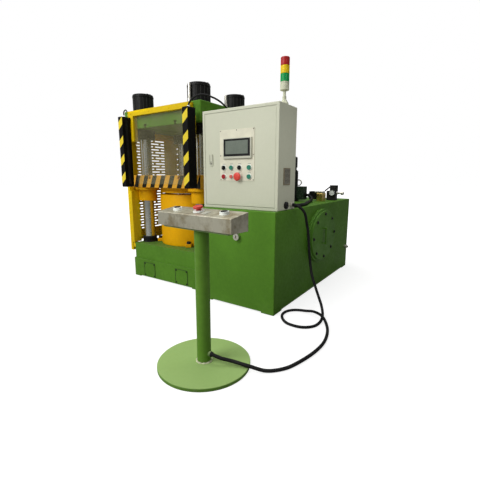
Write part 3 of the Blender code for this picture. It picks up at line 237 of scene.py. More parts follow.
class Effect:
    """A surface effect that several finishes share, in a node group that is made once."""

    sockets = {
        "edge_wear": ({"start": 0.56, "breakup": 60.0}, ("mask",)),
        "mottle": ({"scale": 3.0}, ("broad", "fine")),
        "orange_peel": ({"scale": 260.0}, ("height",)),
        "settled_dust": ({"reach": 0.16, "scale": 7.0}, ("mask", "up")),
        "slanted_stripes": ({"along": 1.0, "slant": 0.3, "pitch": 0.1, "share": 0.5, "shift": 0.0, "rise": 0.0},
                            ("mask",)),
        "tool_marks": ({"scale": 40.0, "stretch": 30.0}, ("lines", "stains"))}
    made: dict[str, NodeTree] = {}

    def __init__(self, name: str) -> None:
        """Makes the group with its sockets and nodes.

        Args:
            name: The name of the method that wires it.
        """
        tree = bpy.data.node_groups.new(name, "ShaderNodeTree")
        usual, results = self.sockets[name]
        for label, value in usual.items():
            tree.interface.new_socket(label, in_out="INPUT", socket_type="NodeSocketFloat").default_value = value
        for label in results:
            tree.interface.new_socket(label, in_out="OUTPUT", socket_type="NodeSocketFloat")
        self.wires = Wiring(tree)
        self.given = self.wires.add("NodeGroupInput").outputs
        self.place = self.wires.add("ShaderNodeTexCoord").outputs["Object"]
        self.wires.add("NodeGroupOutput", dict(zip(results, getattr(self, name)())))
        self.made[name] = tree

    @classmethod
    def use(cls, wires: Wiring, name: str, **values: object) -> dict[str, NodeSocket]:
        """Places the group in a material.

        Args:
            wires: The material's wiring.
            name: The effect's method name.
            values: What feeds its inputs.

        Returns:
            Its outputs by name.
        """
        if name not in cls.made:
            cls(name)
        return wires.add("ShaderNodeGroup", values, node_tree=cls.made[name]).outputs

    def edge_wear(self) -> tuple[NodeSocket, ...]:
        """Wires the mask of rubbed edges.

        Returns:
            The mask.
        """
        wires, start = self.wires, self.given["start"]
        sharp = wires.add("ShaderNodeNewGeometry").outputs["Pointiness"]
        broken = wires.noise(self.place, self.given["breakup"], 5.0, 0.65)
        shifted = wires.maths("ADD", sharp, wires.line(broken, 0.18, -0.09))
        return (wires.ramp(shifted, start, wires.maths("ADD", start, 0.05)),)

    def mottle(self) -> tuple[NodeSocket, ...]:
        """Wires the slow and fine colour changes of a sprayed or cast surface.

        Returns:
            The broad and the fine changes.
        """
        wires, scale = self.wires, self.given["scale"]
        broad = wires.ramp(wires.noise(self.place, scale, 3.0), 0.3, 0.7)
        return broad, wires.ramp(wires.noise(self.place, wires.line(scale, 14.0), 5.0, 0.6), 0.3, 0.7)

    def orange_peel(self) -> tuple[NodeSocket, ...]:
        """Wires the height of sprayed paint's fine waves and of dust under it.

        Returns:
            The height.
        """
        wires, scale = self.wires, self.given["scale"]
        waves = wires.noise(self.place, scale, 2.0, 0.4)
        links = {"Vector": self.place, "Scale": wires.line(scale, 0.35)}
        specks = wires.add("ShaderNodeTexVoronoi", links).outputs["Distance"]
        nibs = wires.maths("SUBTRACT", 1.0, wires.ramp(specks, 0.0, 0.12))
        return (wires.line(nibs, 0.25, waves),)

    def settled_dust(self) -> tuple[NodeSocket, ...]:
        """Wires the mask of dust, thicker on faces that look up and near the floor.

        Returns:
            The mask, and how far the face looks up.
        """
        wires = self.wires
        up = wires.ramp(wires.axes(wires.add("ShaderNodeNewGeometry").outputs["Normal"])["Z"], 0.35, 1.0)
        height = wires.axes(self.place)["Z"]
        low = wires.maths("SUBTRACT", 1.0, wires.ramp(height, 0.0, self.given["reach"]))
        clouds = wires.ramp(wires.noise(self.place, self.given["scale"], 6.0, 0.62), 0.38, 0.72)
        return wires.maths("MULTIPLY", wires.line(up, 0.7, wires.line(low, 0.55)), clouds), up

    def slanted_stripes(self) -> tuple[NodeSocket, ...]:
        """Wires the mask of slanted bands on a face across Y.

        Returns:
            The mask.
        """
        wires, given = self.wires, self.given
        parts = wires.axes(self.place)
        run = wires.line(parts["Z"], given["rise"], wires.line(parts["X"], given["along"]))
        ragged = wires.line(wires.noise(self.place, 90.0, 3.0), 0.004, -0.002)
        lean = wires.line(parts["Z"], given["slant"], ragged)
        placed = wires.maths("ADD", wires.maths("SUBTRACT", run, lean), given["shift"])
        share = wires.maths("FRACT", wires.maths("DIVIDE", placed, given["pitch"]))
        return (wires.maths("LESS_THAN", share, given["share"]),)

    def tool_marks(self) -> tuple[NodeSocket, ...]:
        """Wires the fine lines that grinding or brushing leaves, along X, and softer stains.

        Returns:
            The lines and the stains.
        """
        wires, scale, stretch = self.wires, self.given["scale"], self.given["stretch"]
        parts = wires.axes(self.place)
        links = {0: parts["X"], 1: wires.line(parts["Y"], stretch), 2: wires.line(parts["Z"], stretch)}
        drawn = wires.add("ShaderNodeCombineXYZ", links).outputs[0]
        stains = wires.ramp(wires.noise(self.place, wires.line(scale, 0.35), 6.0, 0.6), 0.4, 0.7)
        return wires.noise(drawn, scale, 4.0, 0.6), stains


def blank(name: str) -> tuple[Material, Wiring, Node]:
    """Makes a material with its Principled shader.

    Args:
        name: The material's name.

    Returns:
        The material, its wiring and the shader node.
    """
    material = bpy.data.materials.new(name)
    material.use_nodes = True
    return material, Wiring(material.node_tree), material.node_tree.nodes["Principled BSDF"]


@dataclass(frozen=True)
class Finish:
    """A material made of shader nodes, with the slot that it usually stands for."""

    name: str
    slot: Slot
    colour: Colour

    def build(self) -> Material:
        """Makes the material.

        Returns:
            The finished material.
        """
        material, wires, shader = blank(self.name)
        wires.fill(shader, self.inputs(wires))
        return material

    def inputs(self, wires: Wiring) -> dict[str, object]:
        """Wires what feeds the Principled shader.

        Args:
            wires: The material's wiring.

        Returns:
            Values, colours and sockets by the input's name.
        """
        raise NotImplementedError

    def bump(self, wires: Wiring, height: NodeSocket, strength: float, distance: float = 0.0004) -> NodeSocket:
        """Turns a height into a change of the surface's direction.

        Args:
            wires: The material's wiring.
            height: The height's socket.
            strength: How much it shows.
            distance: The height in metres that 1 stands for.

        Returns:
            The normal's socket.
        """
        return wires.add("ShaderNodeBump", {"Height": height, "Strength": strength, "Distance": distance}).outputs[0]


@dataclass(frozen=True)
class Paint(Finish):
    """Sprayed enamel or powder coat with dust, mottling and rubbed edges."""

    under: Colour = (0.16, 0.15, 0.13)
    roughness: float = 0.38
    wear: float = 0.5
    dust: float = 0.35
    dust_colour: Colour = (0.42, 0.4, 0.33)
    peel: float = 0.05
    peel_scale: float = 260.0
    shade: float = 0.78
    specular: float = 0.2
    dust_and_top_light: float = 0.0

    def base(self, wires: Wiring) -> object:
        """Gives the colour of the clean paint.

        Args:
            wires: The material's wiring.

        Returns:
            A colour or a socket that gives it.
        """
        return self.colour

    def inputs(self, wires: Wiring) -> dict[str, object]:
        """Wires what feeds the Principled shader.

        Args:
            wires: The material's wiring.

        Returns:
            Values, colours and sockets by the input's name.
        """
        colour = self.base(wires)
        mottle = Effect.use(wires, "mottle", scale=2.6)
        spread = wires.line(mottle["broad"], 0.5, wires.line(mottle["fine"], 0.3))
        tone = wires.mix(spread, colour, wires.mix(1.0, colour, (self.shade,) * 3, "MULTIPLY"))
        dust = Effect.use(wires, "settled_dust")
        # Faces that look up are tinted towards the pale dust colour: partly settled dust and partly painted top
        # light.
        if self.dust_and_top_light:
            tone = wires.mix(wires.line(dust["up"], self.dust_and_top_light), tone, self.dust_colour)
        dusty = wires.mix(wires.line(dust["mask"], self.dust), tone, self.dust_colour)
        worn = wires.line(Effect.use(wires, "edge_wear")["mask"], self.wear)
        peel = Effect.use(wires, "orange_peel", scale=self.peel_scale)["height"]
        return {"Base Color": wires.mix(worn, dusty, self.under),
                "Roughness": wires.line(dust["mask"], 0.3, wires.line(mottle["fine"], 0.16, self.roughness)),
                "Normal": self.bump(wires, wires.line(worn, -0.8, peel), self.peel, 0.001),
                "Specular IOR Level": self.specular}


@dataclass(frozen=True)
class Hazard(Paint):
    """Paint or tape in slanted bands of two colours on the face that looks forwards."""

    band: Colour = (0.01, 0.01, 0.01)
    pitch: float = 0.128
    share: float = 0.5
    slant: float = 0.3
    shift: float = 0.0
    along: float = 1.0
    rise: float = 0.0

    def base(self, wires: Wiring) -> object:
        """Gives the colour of the clean bands.

        Args:
            wires: The material's wiring.

        Returns:
            The colour's socket.
        """
        stripes = Effect.use(wires, "slanted_stripes", along=self.along, slant=self.slant, pitch=self.pitch,
                             share=self.share, shift=self.shift, rise=self.rise)["mask"]
        normal = wires.add("ShaderNodeNewGeometry").outputs["Normal"]
        forward = wires.maths("LESS_THAN", wires.axes(normal)["Y"], -0.7)
        return wires.mix(wires.line(stripes, forward), self.colour, self.band)


@dataclass(frozen=True)
class Metal(Finish):
    """Bare metal with tool marks, stains and a film of oil."""

    stain: Colour = (0.3, 0.3, 0.3)
    roughness: float = 0.3
    marks: float = 0.12
    scale: float = 40.0
    stretch: float = 30.0
    stained: float = 0.5

    def inputs(self, wires: Wiring) -> dict[str, object]:
        """Wires what feeds the Principled shader.

        Args:
            wires: The material's wiring.

        Returns:
            Values, colours and sockets by the input's name.
        """
        marks = Effect.use(wires, "tool_marks", scale=self.scale, stretch=self.stretch)
        spots = wires.line(marks["stains"], self.stained)
        return {"Base Color": wires.mix(spots, self.colour, self.stain), "Metallic": 1.0,
                "Roughness": wires.line(spots, 0.2, wires.line(marks["lines"], 0.22, self.roughness)),
                "Normal": self.bump(wires, marks["lines"], self.marks)}


@dataclass(frozen=True)
class Moulding(Finish):
    """Moulded plastic or rubber with a fine grain and handling marks."""

    roughness: float = 0.35
    grain: float = 0.1
    grain_scale: float = 900.0
    rubbed: float = 0.25
    coat: float = 0.0
    glow: float = 0.0
    specular: float = 0.25

    def inputs(self, wires: Wiring) -> dict[str, object]:
        """Wires what feeds the Principled shader.

        Args:
            wires: The material's wiring.

        Returns:
            Values, colours and sockets by the input's name.
        """
        mottle = Effect.use(wires, "mottle", scale=11.0)
        lighter, rubbed = (tuple(min(1.0, c * gain + lift) for c in self.colour)
                           for gain, lift in ((1.25, 0.012), (1.5, 0.05)))
        tone = wires.mix(wires.line(mottle["broad"], 0.5), self.colour, lighter)
        worn = wires.line(Effect.use(wires, "edge_wear", breakup=140.0)["mask"], self.rubbed)
        grain = Effect.use(wires, "orange_peel", scale=self.grain_scale)["height"]
        values = {"Base Color": wires.mix(worn, tone, rubbed),
                  "Roughness": wires.line(mottle["fine"], 0.14, self.roughness),
                  "Normal": self.bump(wires, grain, self.grain), "Coat Weight": self.coat,
                  "Specular IOR Level": self.specular}
        # A faint emission in the part's own colour: a painted glow that brightens the part.
        if self.glow:
            values |= {"Emission Color": self.colour, "Emission Strength": self.glow}
        return values


@dataclass(frozen=True)
class ClearSheet(Finish):
    """A clear plastic sheet with a haze of dust and fine scratches."""

    haze: float = 0.08

    def inputs(self, wires: Wiring) -> dict[str, object]:
        """Wires what feeds the Principled shader.

        Args:
            wires: The material's wiring.

        Returns:
            Values, colours and sockets by the input's name.
        """
        marks = Effect.use(wires, "tool_marks", scale=9.0, stretch=5.0)
        clouds = wires.line(marks["stains"], self.haze)
        scratched = wires.ramp(marks["lines"], 0.62, 0.7)
        return {"Alpha": wires.line(scratched, 0.03, wires.maths("ADD", clouds, 0.09)),
                "Base Color": wires.mix(clouds, self.colour, (0.6, 0.58, 0.46)),
                "Roughness": wires.maths("ADD", clouds, 0.05), "Specular IOR Level": 0.2}


class Finishes:
    """Every finish of the machine, each made once, when it is first used."""

    enamel = dict(dust_colour=(0.16, 0.26, 0.07), shade=0.68)
    curtain = dict(band=(0.75, 0.58, 0.04), dust=0.03, under=(0.05,) * 3, wear=0.3, specular=0.08, along=0.85,
                   rise=-1.0, slant=0.0, pitch=0.178)
    button = dict(roughness=0.28, grain=0.03, coat=0.1)
    # The lenses' faint glow is painted light, the same on all three lenses.
    lens = dict(roughness=0.24, grain=0.02, specular=0.15, glow=0.05)
    recipes: dict[str, Finish] = {
        "green": Paint("green_enamel", Slot.GREEN, (0.09, 0.225, 0.022), dust=0.22, specular=0.07, **enamel),
        # The cleaning cover's enamel: strong edge wear over a pale green under-colour lightens the rim's edges,
        # partly real rubbing and partly a painted highlight on the rim.
        "lid_green_rim_highlight": Paint("lid_enamel_rim_highlight", Slot.GREEN, (0.085, 0.22, 0.024), under=(0.25, 0.45, 0.16), wear=0.8,
                           dust=0.2, specular=0.12, **enamel),
        # The stand's paint has paler tops: partly settled dust and partly painted top light.
        "stand_green": Paint("stand_green", Slot.GREEN, (0.105, 0.235, 0.024), dust=0.2,
                             dust_colour=(0.33, 0.48, 0.17), dust_and_top_light=0.8, shade=0.7, specular=0.14),
        "dark_green": Paint("dark_green_enamel", Slot.BLACK, (0.015, 0.04, 0.02), dust=0.1),
        "lemon": Paint("guard_yellow", Slot.YELLOW, (0.86, 0.6, 0.002), under=(0.3, 0.2, 0.02), wear=0.35,
                       dust=0.06, peel=0.03, specular=0.08),
        # A darker copy of the guard yellow for the right and back guards: painted shade for the shade that these
        # guards sit in.
        "shaded_guard_yellow": Paint("guard_yellow_painted_shade", Slot.YELLOW, (0.7, 0.48, 0.006), under=(0.2, 0.13, 0.02), wear=0.3, dust=0.1,
                      specular=0.08),
        "amber": Paint("press_yellow", Slot.YELLOW, (0.76, 0.38, 0.0015), under=(0.35, 0.16, 0.02), wear=0.35,
                       dust=0.08, dust_colour=(0.6, 0.4, 0.1), peel=0.04, specular=0.08),
        "platen": Hazard("platen_bands", Slot.YELLOW, (0.82, 0.42, 0.04), band=(0.02, 0.018, 0.011), dust=0.05,
                         under=(0.3, 0.17, 0.05), slant=0.4, shift=0.257, specular=0.1),
        "left_curtain": Hazard("left_curtain_bands", Slot.BLACK, (0.004,) * 3, share=0.41, shift=0.144, **curtain),
        "right_curtain": Hazard("right_curtain_bands", Slot.BLACK, (0.004,) * 3, share=0.42, shift=0.0963,
                                **curtain),
        "grey": Paint("cabinet_coat", Slot.GREY, (0.52, 0.53, 0.41), under=(0.36, 0.36, 0.3), wear=0.3, dust=0.08,
                      shade=0.94, dust_colour=(0.45, 0.43, 0.33), roughness=0.48, peel=0.16, peel_scale=620.0,
                      specular=0.3),
        "black": Paint("black_enamel", Slot.BLACK, (0.007, 0.007, 0.0065), under=(0.05, 0.05, 0.045), dust=0.1,
                       dust_colour=(0.05, 0.047, 0.04), roughness=0.36, specular=0.12),
        "putty": Paint("weld_putty", Slot.GREEN, (0.62, 0.64, 0.42), under=(0.5, 0.52, 0.35), dust=0.1, peel=0.2,
                       peel_scale=180.0),
        "bezel": Paint("bezel_grey", Slot.GREY, (0.5, 0.5, 0.4), under=(0.3, 0.3, 0.25), dust=0.03, peel=0.03,
                       specular=0.3),
        "chrome": Metal("hard_chrome", Slot.CHROME, (0.5, 0.51, 0.47), (0.42, 0.42, 0.38), 0.13, 0.006, 9.0, 2.0,
                        0.15),
        "steel": Metal("brushed_sheet", Slot.STEEL, (0.56, 0.54, 0.43), (0.2, 0.16, 0.085), 0.3, 0.14, 30.0, 6.0,
                       0.85),
        "zinc": Metal("zinc_plate", Slot.STEEL, (0.62, 0.6, 0.53), (0.4, 0.38, 0.32), 0.27, 0.08, 90.0, 4.0, 0.4),
        "brass": Metal("machined_brass", Slot.BRASS, (0.88, 0.64, 0.22), (0.5, 0.32, 0.08), 0.16, 0.1, 120.0, 6.0,
                       0.5),
        "black_plastic": Moulding("black_moulding", Slot.BLACK_PLASTIC, (0.008,) * 3, 0.4, 0.14, rubbed=0.1,
                                  specular=0.12),
        "gloss_black": Moulding("black_gloss", Slot.BLACK_PLASTIC, (0.007,) * 3, 0.16, 0.03, rubbed=0.06,
                                specular=0.2),
        "rubber": Moulding("cable_rubber", Slot.RUBBER, (0.008,) * 3, 0.48, 0.12, 500.0, 0.06, specular=0.12),
        "cream": Moulding("cream_panel", Slot.CREAM, (0.58, 0.56, 0.44), 0.42, 0.05, 500.0, 0.1),
        "legend": Moulding("legend_grey", Slot.CREAM, (0.3, 0.3, 0.26), 0.5, 0.05, 500.0, 0.1),
        "pale": Moulding("pale_moulding", Slot.GREY_PLASTIC, (0.76, 0.79, 0.74), 0.3, 0.06),
        "grey_plastic": Moulding("grey_moulding", Slot.GREY_PLASTIC, (0.48, 0.49, 0.36), 0.4, 0.08),
        "display": Moulding("screen_glass", Slot.BLACK_PLASTIC, (0.105, 0.125, 0.1), 0.2, 0.01, specular=0.12),
        "teal": Moulding("green_button", Slot.GREEN_PLASTIC, (0.02, 0.16, 0.1), 0.25, 0.03, coat=0.1),
        "red": Moulding("red_button", Slot.RED_PLASTIC, (0.55, 0.05, 0.035), **button),
        "dark_red": Moulding("dark_red_button", Slot.RED_PLASTIC, (0.28, 0.008, 0.01), **button),
        "rose": Moulding("pale_red_button", Slot.RED_PLASTIC, (0.5, 0.11, 0.085), 0.3, 0.03),
        "green_lens": Moulding("green_lens", Slot.GREEN_LENS, (0.001, 0.24, 0.055), **lens),
        "amber_lens": Moulding("amber_lens", Slot.AMBER_LENS, (0.62, 0.43, 0.002), **lens),
        "red_lens": Moulding("red_lens", Slot.RED_LENS, (0.33, 0.012, 0.012), **lens),
        "vent": Moulding("vent_mesh", Slot.GREY, (0.2, 0.17, 0.115), 0.6, 0.2, 500.0),
        "vent_painted_shade": Moulding("vent_shadow", Slot.GREY, (0.05, 0.042, 0.028), 0.6, 0.1, 500.0),
        "clear": ClearSheet("clear_sheet", Slot.CLEAR, (0.36, 0.34, 0.2))}
    made: dict[str, Material] = {}

    @classmethod
    def get(cls, key: str) -> Material:
        """Gives a finish.

        Args:
            key: Its key in the recipes.

        Returns:
            The material.
        """
        if key not in cls.made:
            cls.made[key] = cls.recipes[key].build()
        return cls.made[key]


def place(piece: Object, body: str, node: str) -> None:
    """Puts a piece in the scene on its body, hides the CAD node that it stands for and logs where it rides.

    Args:
        piece: The piece.
        body: The body it rides on.
        node: The CAD node that it stands for, if any.
    """
    bpy.context.scene.collection.objects.link(piece)
    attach(piece, body)
    if node:
        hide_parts(node)
    log.info("%s rides on %s", piece.name, body)


class Former:
    """Gathers shapes in one mesh and turns them into a piece."""

    def __init__(self, name: str) -> None:
        """Starts an empty mesh.

        Args:
            name: The piece's name.
        """
        self.name = name
        self.mesh = bmesh.new()

    def block(self, low: Point, high: Point, turn: Matrix | None = None, pivot: Point = (0, 0, 0)) -> "Former":
        """Adds a box.

        Args:
            low: Its lowest corner.
            high: Its highest corner.
            turn: A rotation about the pivot.
            pivot: The point that the rotation leaves in place.

        Returns:
            This former.
        """
        verts = bmesh.ops.create_cube(self.mesh, size=1.0)["verts"]
        bmesh.ops.scale(self.mesh, vec=[b - a for a, b in zip(low, high)], verts=verts)
        bmesh.ops.translate(self.mesh, vec=[(a + b) / 2 for a, b in zip(low, high)], verts=verts)
        if turn is not None:
            bmesh.ops.rotate(self.mesh, cent=pivot, matrix=turn, verts=verts)
        return self

    def loft(self, rings: list[list[Point]], closed: bool = False) -> "Former":
        """Joins rings of points with faces.

        Args:
            rings: The rings, where a ring of one point is a tip.
            closed: Whether the last ring is joined to the first.

        Returns:
            This former.
        """
        made = [[self.mesh.verts.new(spot) for spot in ring] for ring in rings]
        sides = max(map(len, made))
        for first, second in zip(made, [*made[1:], made[0]] if closed else made[1:]):
            for i in range(sides):
                steps = ((first, i), (second, i), (second, i + 1), (first, i + 1))
                corners = list(dict.fromkeys(ring[k % len(ring)] for ring, k in steps))
                if len(corners) > 2:
                    self.mesh.faces.new(corners)
        return self

    def lathe(self, profile: Profile, centre: Point, axis: Axis | Matrix = Axis.Z, sides: int = 64,
              closed: bool = False) -> "Former":
        """Adds a turned shape.

        Args:
            profile: Radius and height of each point of the outline.
            centre: The point on the axis where height is 0.
            axis: The axis, or the rotation that lays +Z along it.
            sides: The number of faces around.
            closed: Whether the outline runs back to its start.

        Returns:
            This former.
        """
        turn = axis.turn() if isinstance(axis, Axis) else axis
        rings = []
        for radius, height in profile:
            angles = [FULL_TURN * i / sides for i in range(sides if radius > 1e-6 else 1)]
            rings.append([Vector(centre) + turn @ Vector((radius * math.cos(a), radius * math.sin(a), height))
                          for a in angles])
        return self.loft(rings, closed)

    def rod(self, start: Point, end: Point, radius: float, sides: int = 24) -> "Former":
        """Adds a straight round bar.

        Args:
            start: One end's middle.
            end: The other end's middle.
            radius: The bar's radius.
            sides: The number of faces around.

        Returns:
            This former.
        """
        way = Vector(end) - Vector(start)
        turn = way.to_track_quat("Z", "Y").to_matrix()
        return self.lathe([(0, way.length), (radius, way.length), (radius, 0), (0, 0)], start, turn, sides)

    def screw(self, at: Point, axis: Axis, radius: float, height: float) -> "Former":
        """Adds a socket screw head with its hexagon hole.

        Args:
            at: The middle of the seat.
            axis: The direction that the head looks.
            radius: The head's radius.
            height: The head's height.

        Returns:
            This former.
        """
        rim = radius * 0.12
        outer = [(radius, 0), (radius, height - rim), (radius - rim, height), (radius * 0.56, height)]
        hole = [(radius * 0.5, height - rim), (radius * 0.5, height * 0.45), (0, height * 0.45)]
        return self.lathe([(0, 0), *outer, *hole], at, axis, 18)

    def hexagon(self, at: Point, axis: Axis, radius: float, height: float) -> "Former":
        """Adds a hexagon nut or bolt head with its washer.

        Args:
            at: The middle of the seat.
            axis: The direction that it looks.
            radius: The radius over the corners.
            height: The height above the seat.

        Returns:
            This former.
        """
        washer = height * 0.22
        self.lathe([(0, 0), (radius * 1.25, 0), (radius * 1.25, washer), (0, washer)], at, axis, 24)
        head = [(0, washer), (radius, washer), (radius, height * 0.92), (radius * 0.86, height), (0, height)]
        return self.lathe(head, at, axis, 6)

    def done(self, finish: str, body: str = ROOT, node: str = "", slot: Slot | None = None, bevel: float = 0.0,
             sharp: float = 35.0) -> None:
        """Ends the mesh and makes it a piece.

        Args:
            finish: Its finish's key.
            body: The body it rides on.
            node: The CAD node that it stands for, if any.
            slot: The record's material slot, where it isn't the finish's usual one. It is not used.
            bevel: The width of the edge rounding.
            sharp: Edges over this many degrees stay sharp.
        """
        bmesh.ops.recalc_face_normals(self.mesh, faces=self.mesh.faces)
        data = bpy.data.meshes.new(self.name)
        self.mesh.to_mesh(data)
        self.mesh.free()
        data.materials.append(Finishes.get(finish))
        data.shade_smooth()
        piece = bpy.data.objects.new(self.name, data)
        if bevel:
            round_edges(piece, bevel)
        else:
            data.set_sharp_from_angle(angle=math.radians(sharp))
        place(piece, body, node)


def round_edges(piece: Object, width: float) -> None:
    """Rounds the edges of a piece and keeps its flats flat.

    Args:
        piece: The object.
        width: The width of the rounding.
    """
    bevel = piece.modifiers.new("rounded_edges", "BEVEL")
    bevel.width = width
    bevel.segments = 2
    bevel.limit_method = "ANGLE"
    bevel.angle_limit = math.radians(32)
    bevel.harden_normals = False
    piece.modifiers.new("flat_faces", "WEIGHTED_NORMAL").keep_sharp = True


def dress(nodes: dict[str, tuple[str, float]]) -> None:
    """Gives CAD nodes their finish and rounded edges.

    Args:
        nodes: Each node's finish and the width of its edge rounding, which is 0 for thin sheets
            that keep their exact faces.
    """
    for node, (finish, width) in nodes.items():
        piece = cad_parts[node]
        data = piece.data
        data.materials.clear()
        data.materials.append(Finishes.get(finish))
        if "custom_normal" in data.attributes:
            data.attributes.remove(data.attributes["custom_normal"])
        if width:
            data.shade_smooth()
            piece.modifiers.new("joined_faces", "WELD").merge_threshold = 0.00002
            flat = piece.modifiers.new("whole_faces", "DECIMATE")
            flat.decimate_type = "DISSOLVE"
            flat.angle_limit = math.radians(0.4)
            round_edges(piece, width)
        else:
            data.shade_flat()
        log.info("%s is dressed", node)


def middle(node: str) -> Vector:
    """Gives the middle of a CAD node's box.

    Args:
        node: The node's name.

    Returns:
        The middle point.
    """
    low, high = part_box(node)
    return (low + high) / 2


def around(radius: float, angle: float, centre: Point = (0, 0, 0)) -> Vector:
    """Gives a point on a level circle.

    Args:
        radius: The circle's radius.
        angle: The angle from +X.
        centre: The circle's middle.

    Returns:
        The point.
    """
    return Vector(centre) + Vector((radius * math.cos(angle), radius * math.sin(angle), 0))


def smooth_route(points: list[Point], samples: int = 6) -> list[Vector]:
    """Runs a smooth curve through given points, with straight ends.

    Args:
        points: The points.
        samples: Steps between two points.

    Returns:
        The curve's points.
    """
    knots = [Vector(p) for p in points]
    route = [knots[0]]
    for a, b, c, d in zip(knots, knots[1:], knots[2:], knots[3:]):
        for t in (i / samples for i in range(samples)):
            route.append(0.5 * (2 * b + (c - a) * t + (2 * a - 5 * b + 4 * c - d) * t * t
                                + (3 * b - a - 3 * c + d) * t ** 3))
    return [*route, knots[-2], knots[-1]]


def hose(name: str, points: list[Point], radius: float, node: str = "") -> tuple[Object, float]:
    """Makes a round rubber hose or cable on the machine.

    Args:
        name: The piece's name.
        points: Its route's given points.
        radius: Its radius.
        node: The CAD node that it stands for, if any.

    Returns:
        The curve object and the route's length.
    """
    route = smooth_route(points)
    curve = bpy.data.curves.new(name, "CURVE")
    curve.dimensions = "3D"
    spline = curve.splines.new("POLY")
    spline.points.add(len(route) - 1)
    for point, at in zip(spline.points, route):
        point.co = (*at, 1.0)
    spline.use_smooth = True
    curve.bevel_depth = radius
    curve.bevel_resolution = 4
    curve.use_fill_caps = True
    curve.materials.append(Finishes.get("rubber"))
    piece = bpy.data.objects.new(name, curve)
    place(piece, ROOT, node)
    return piece, sum((b - a).length for a, b in zip(route, route[1:]))


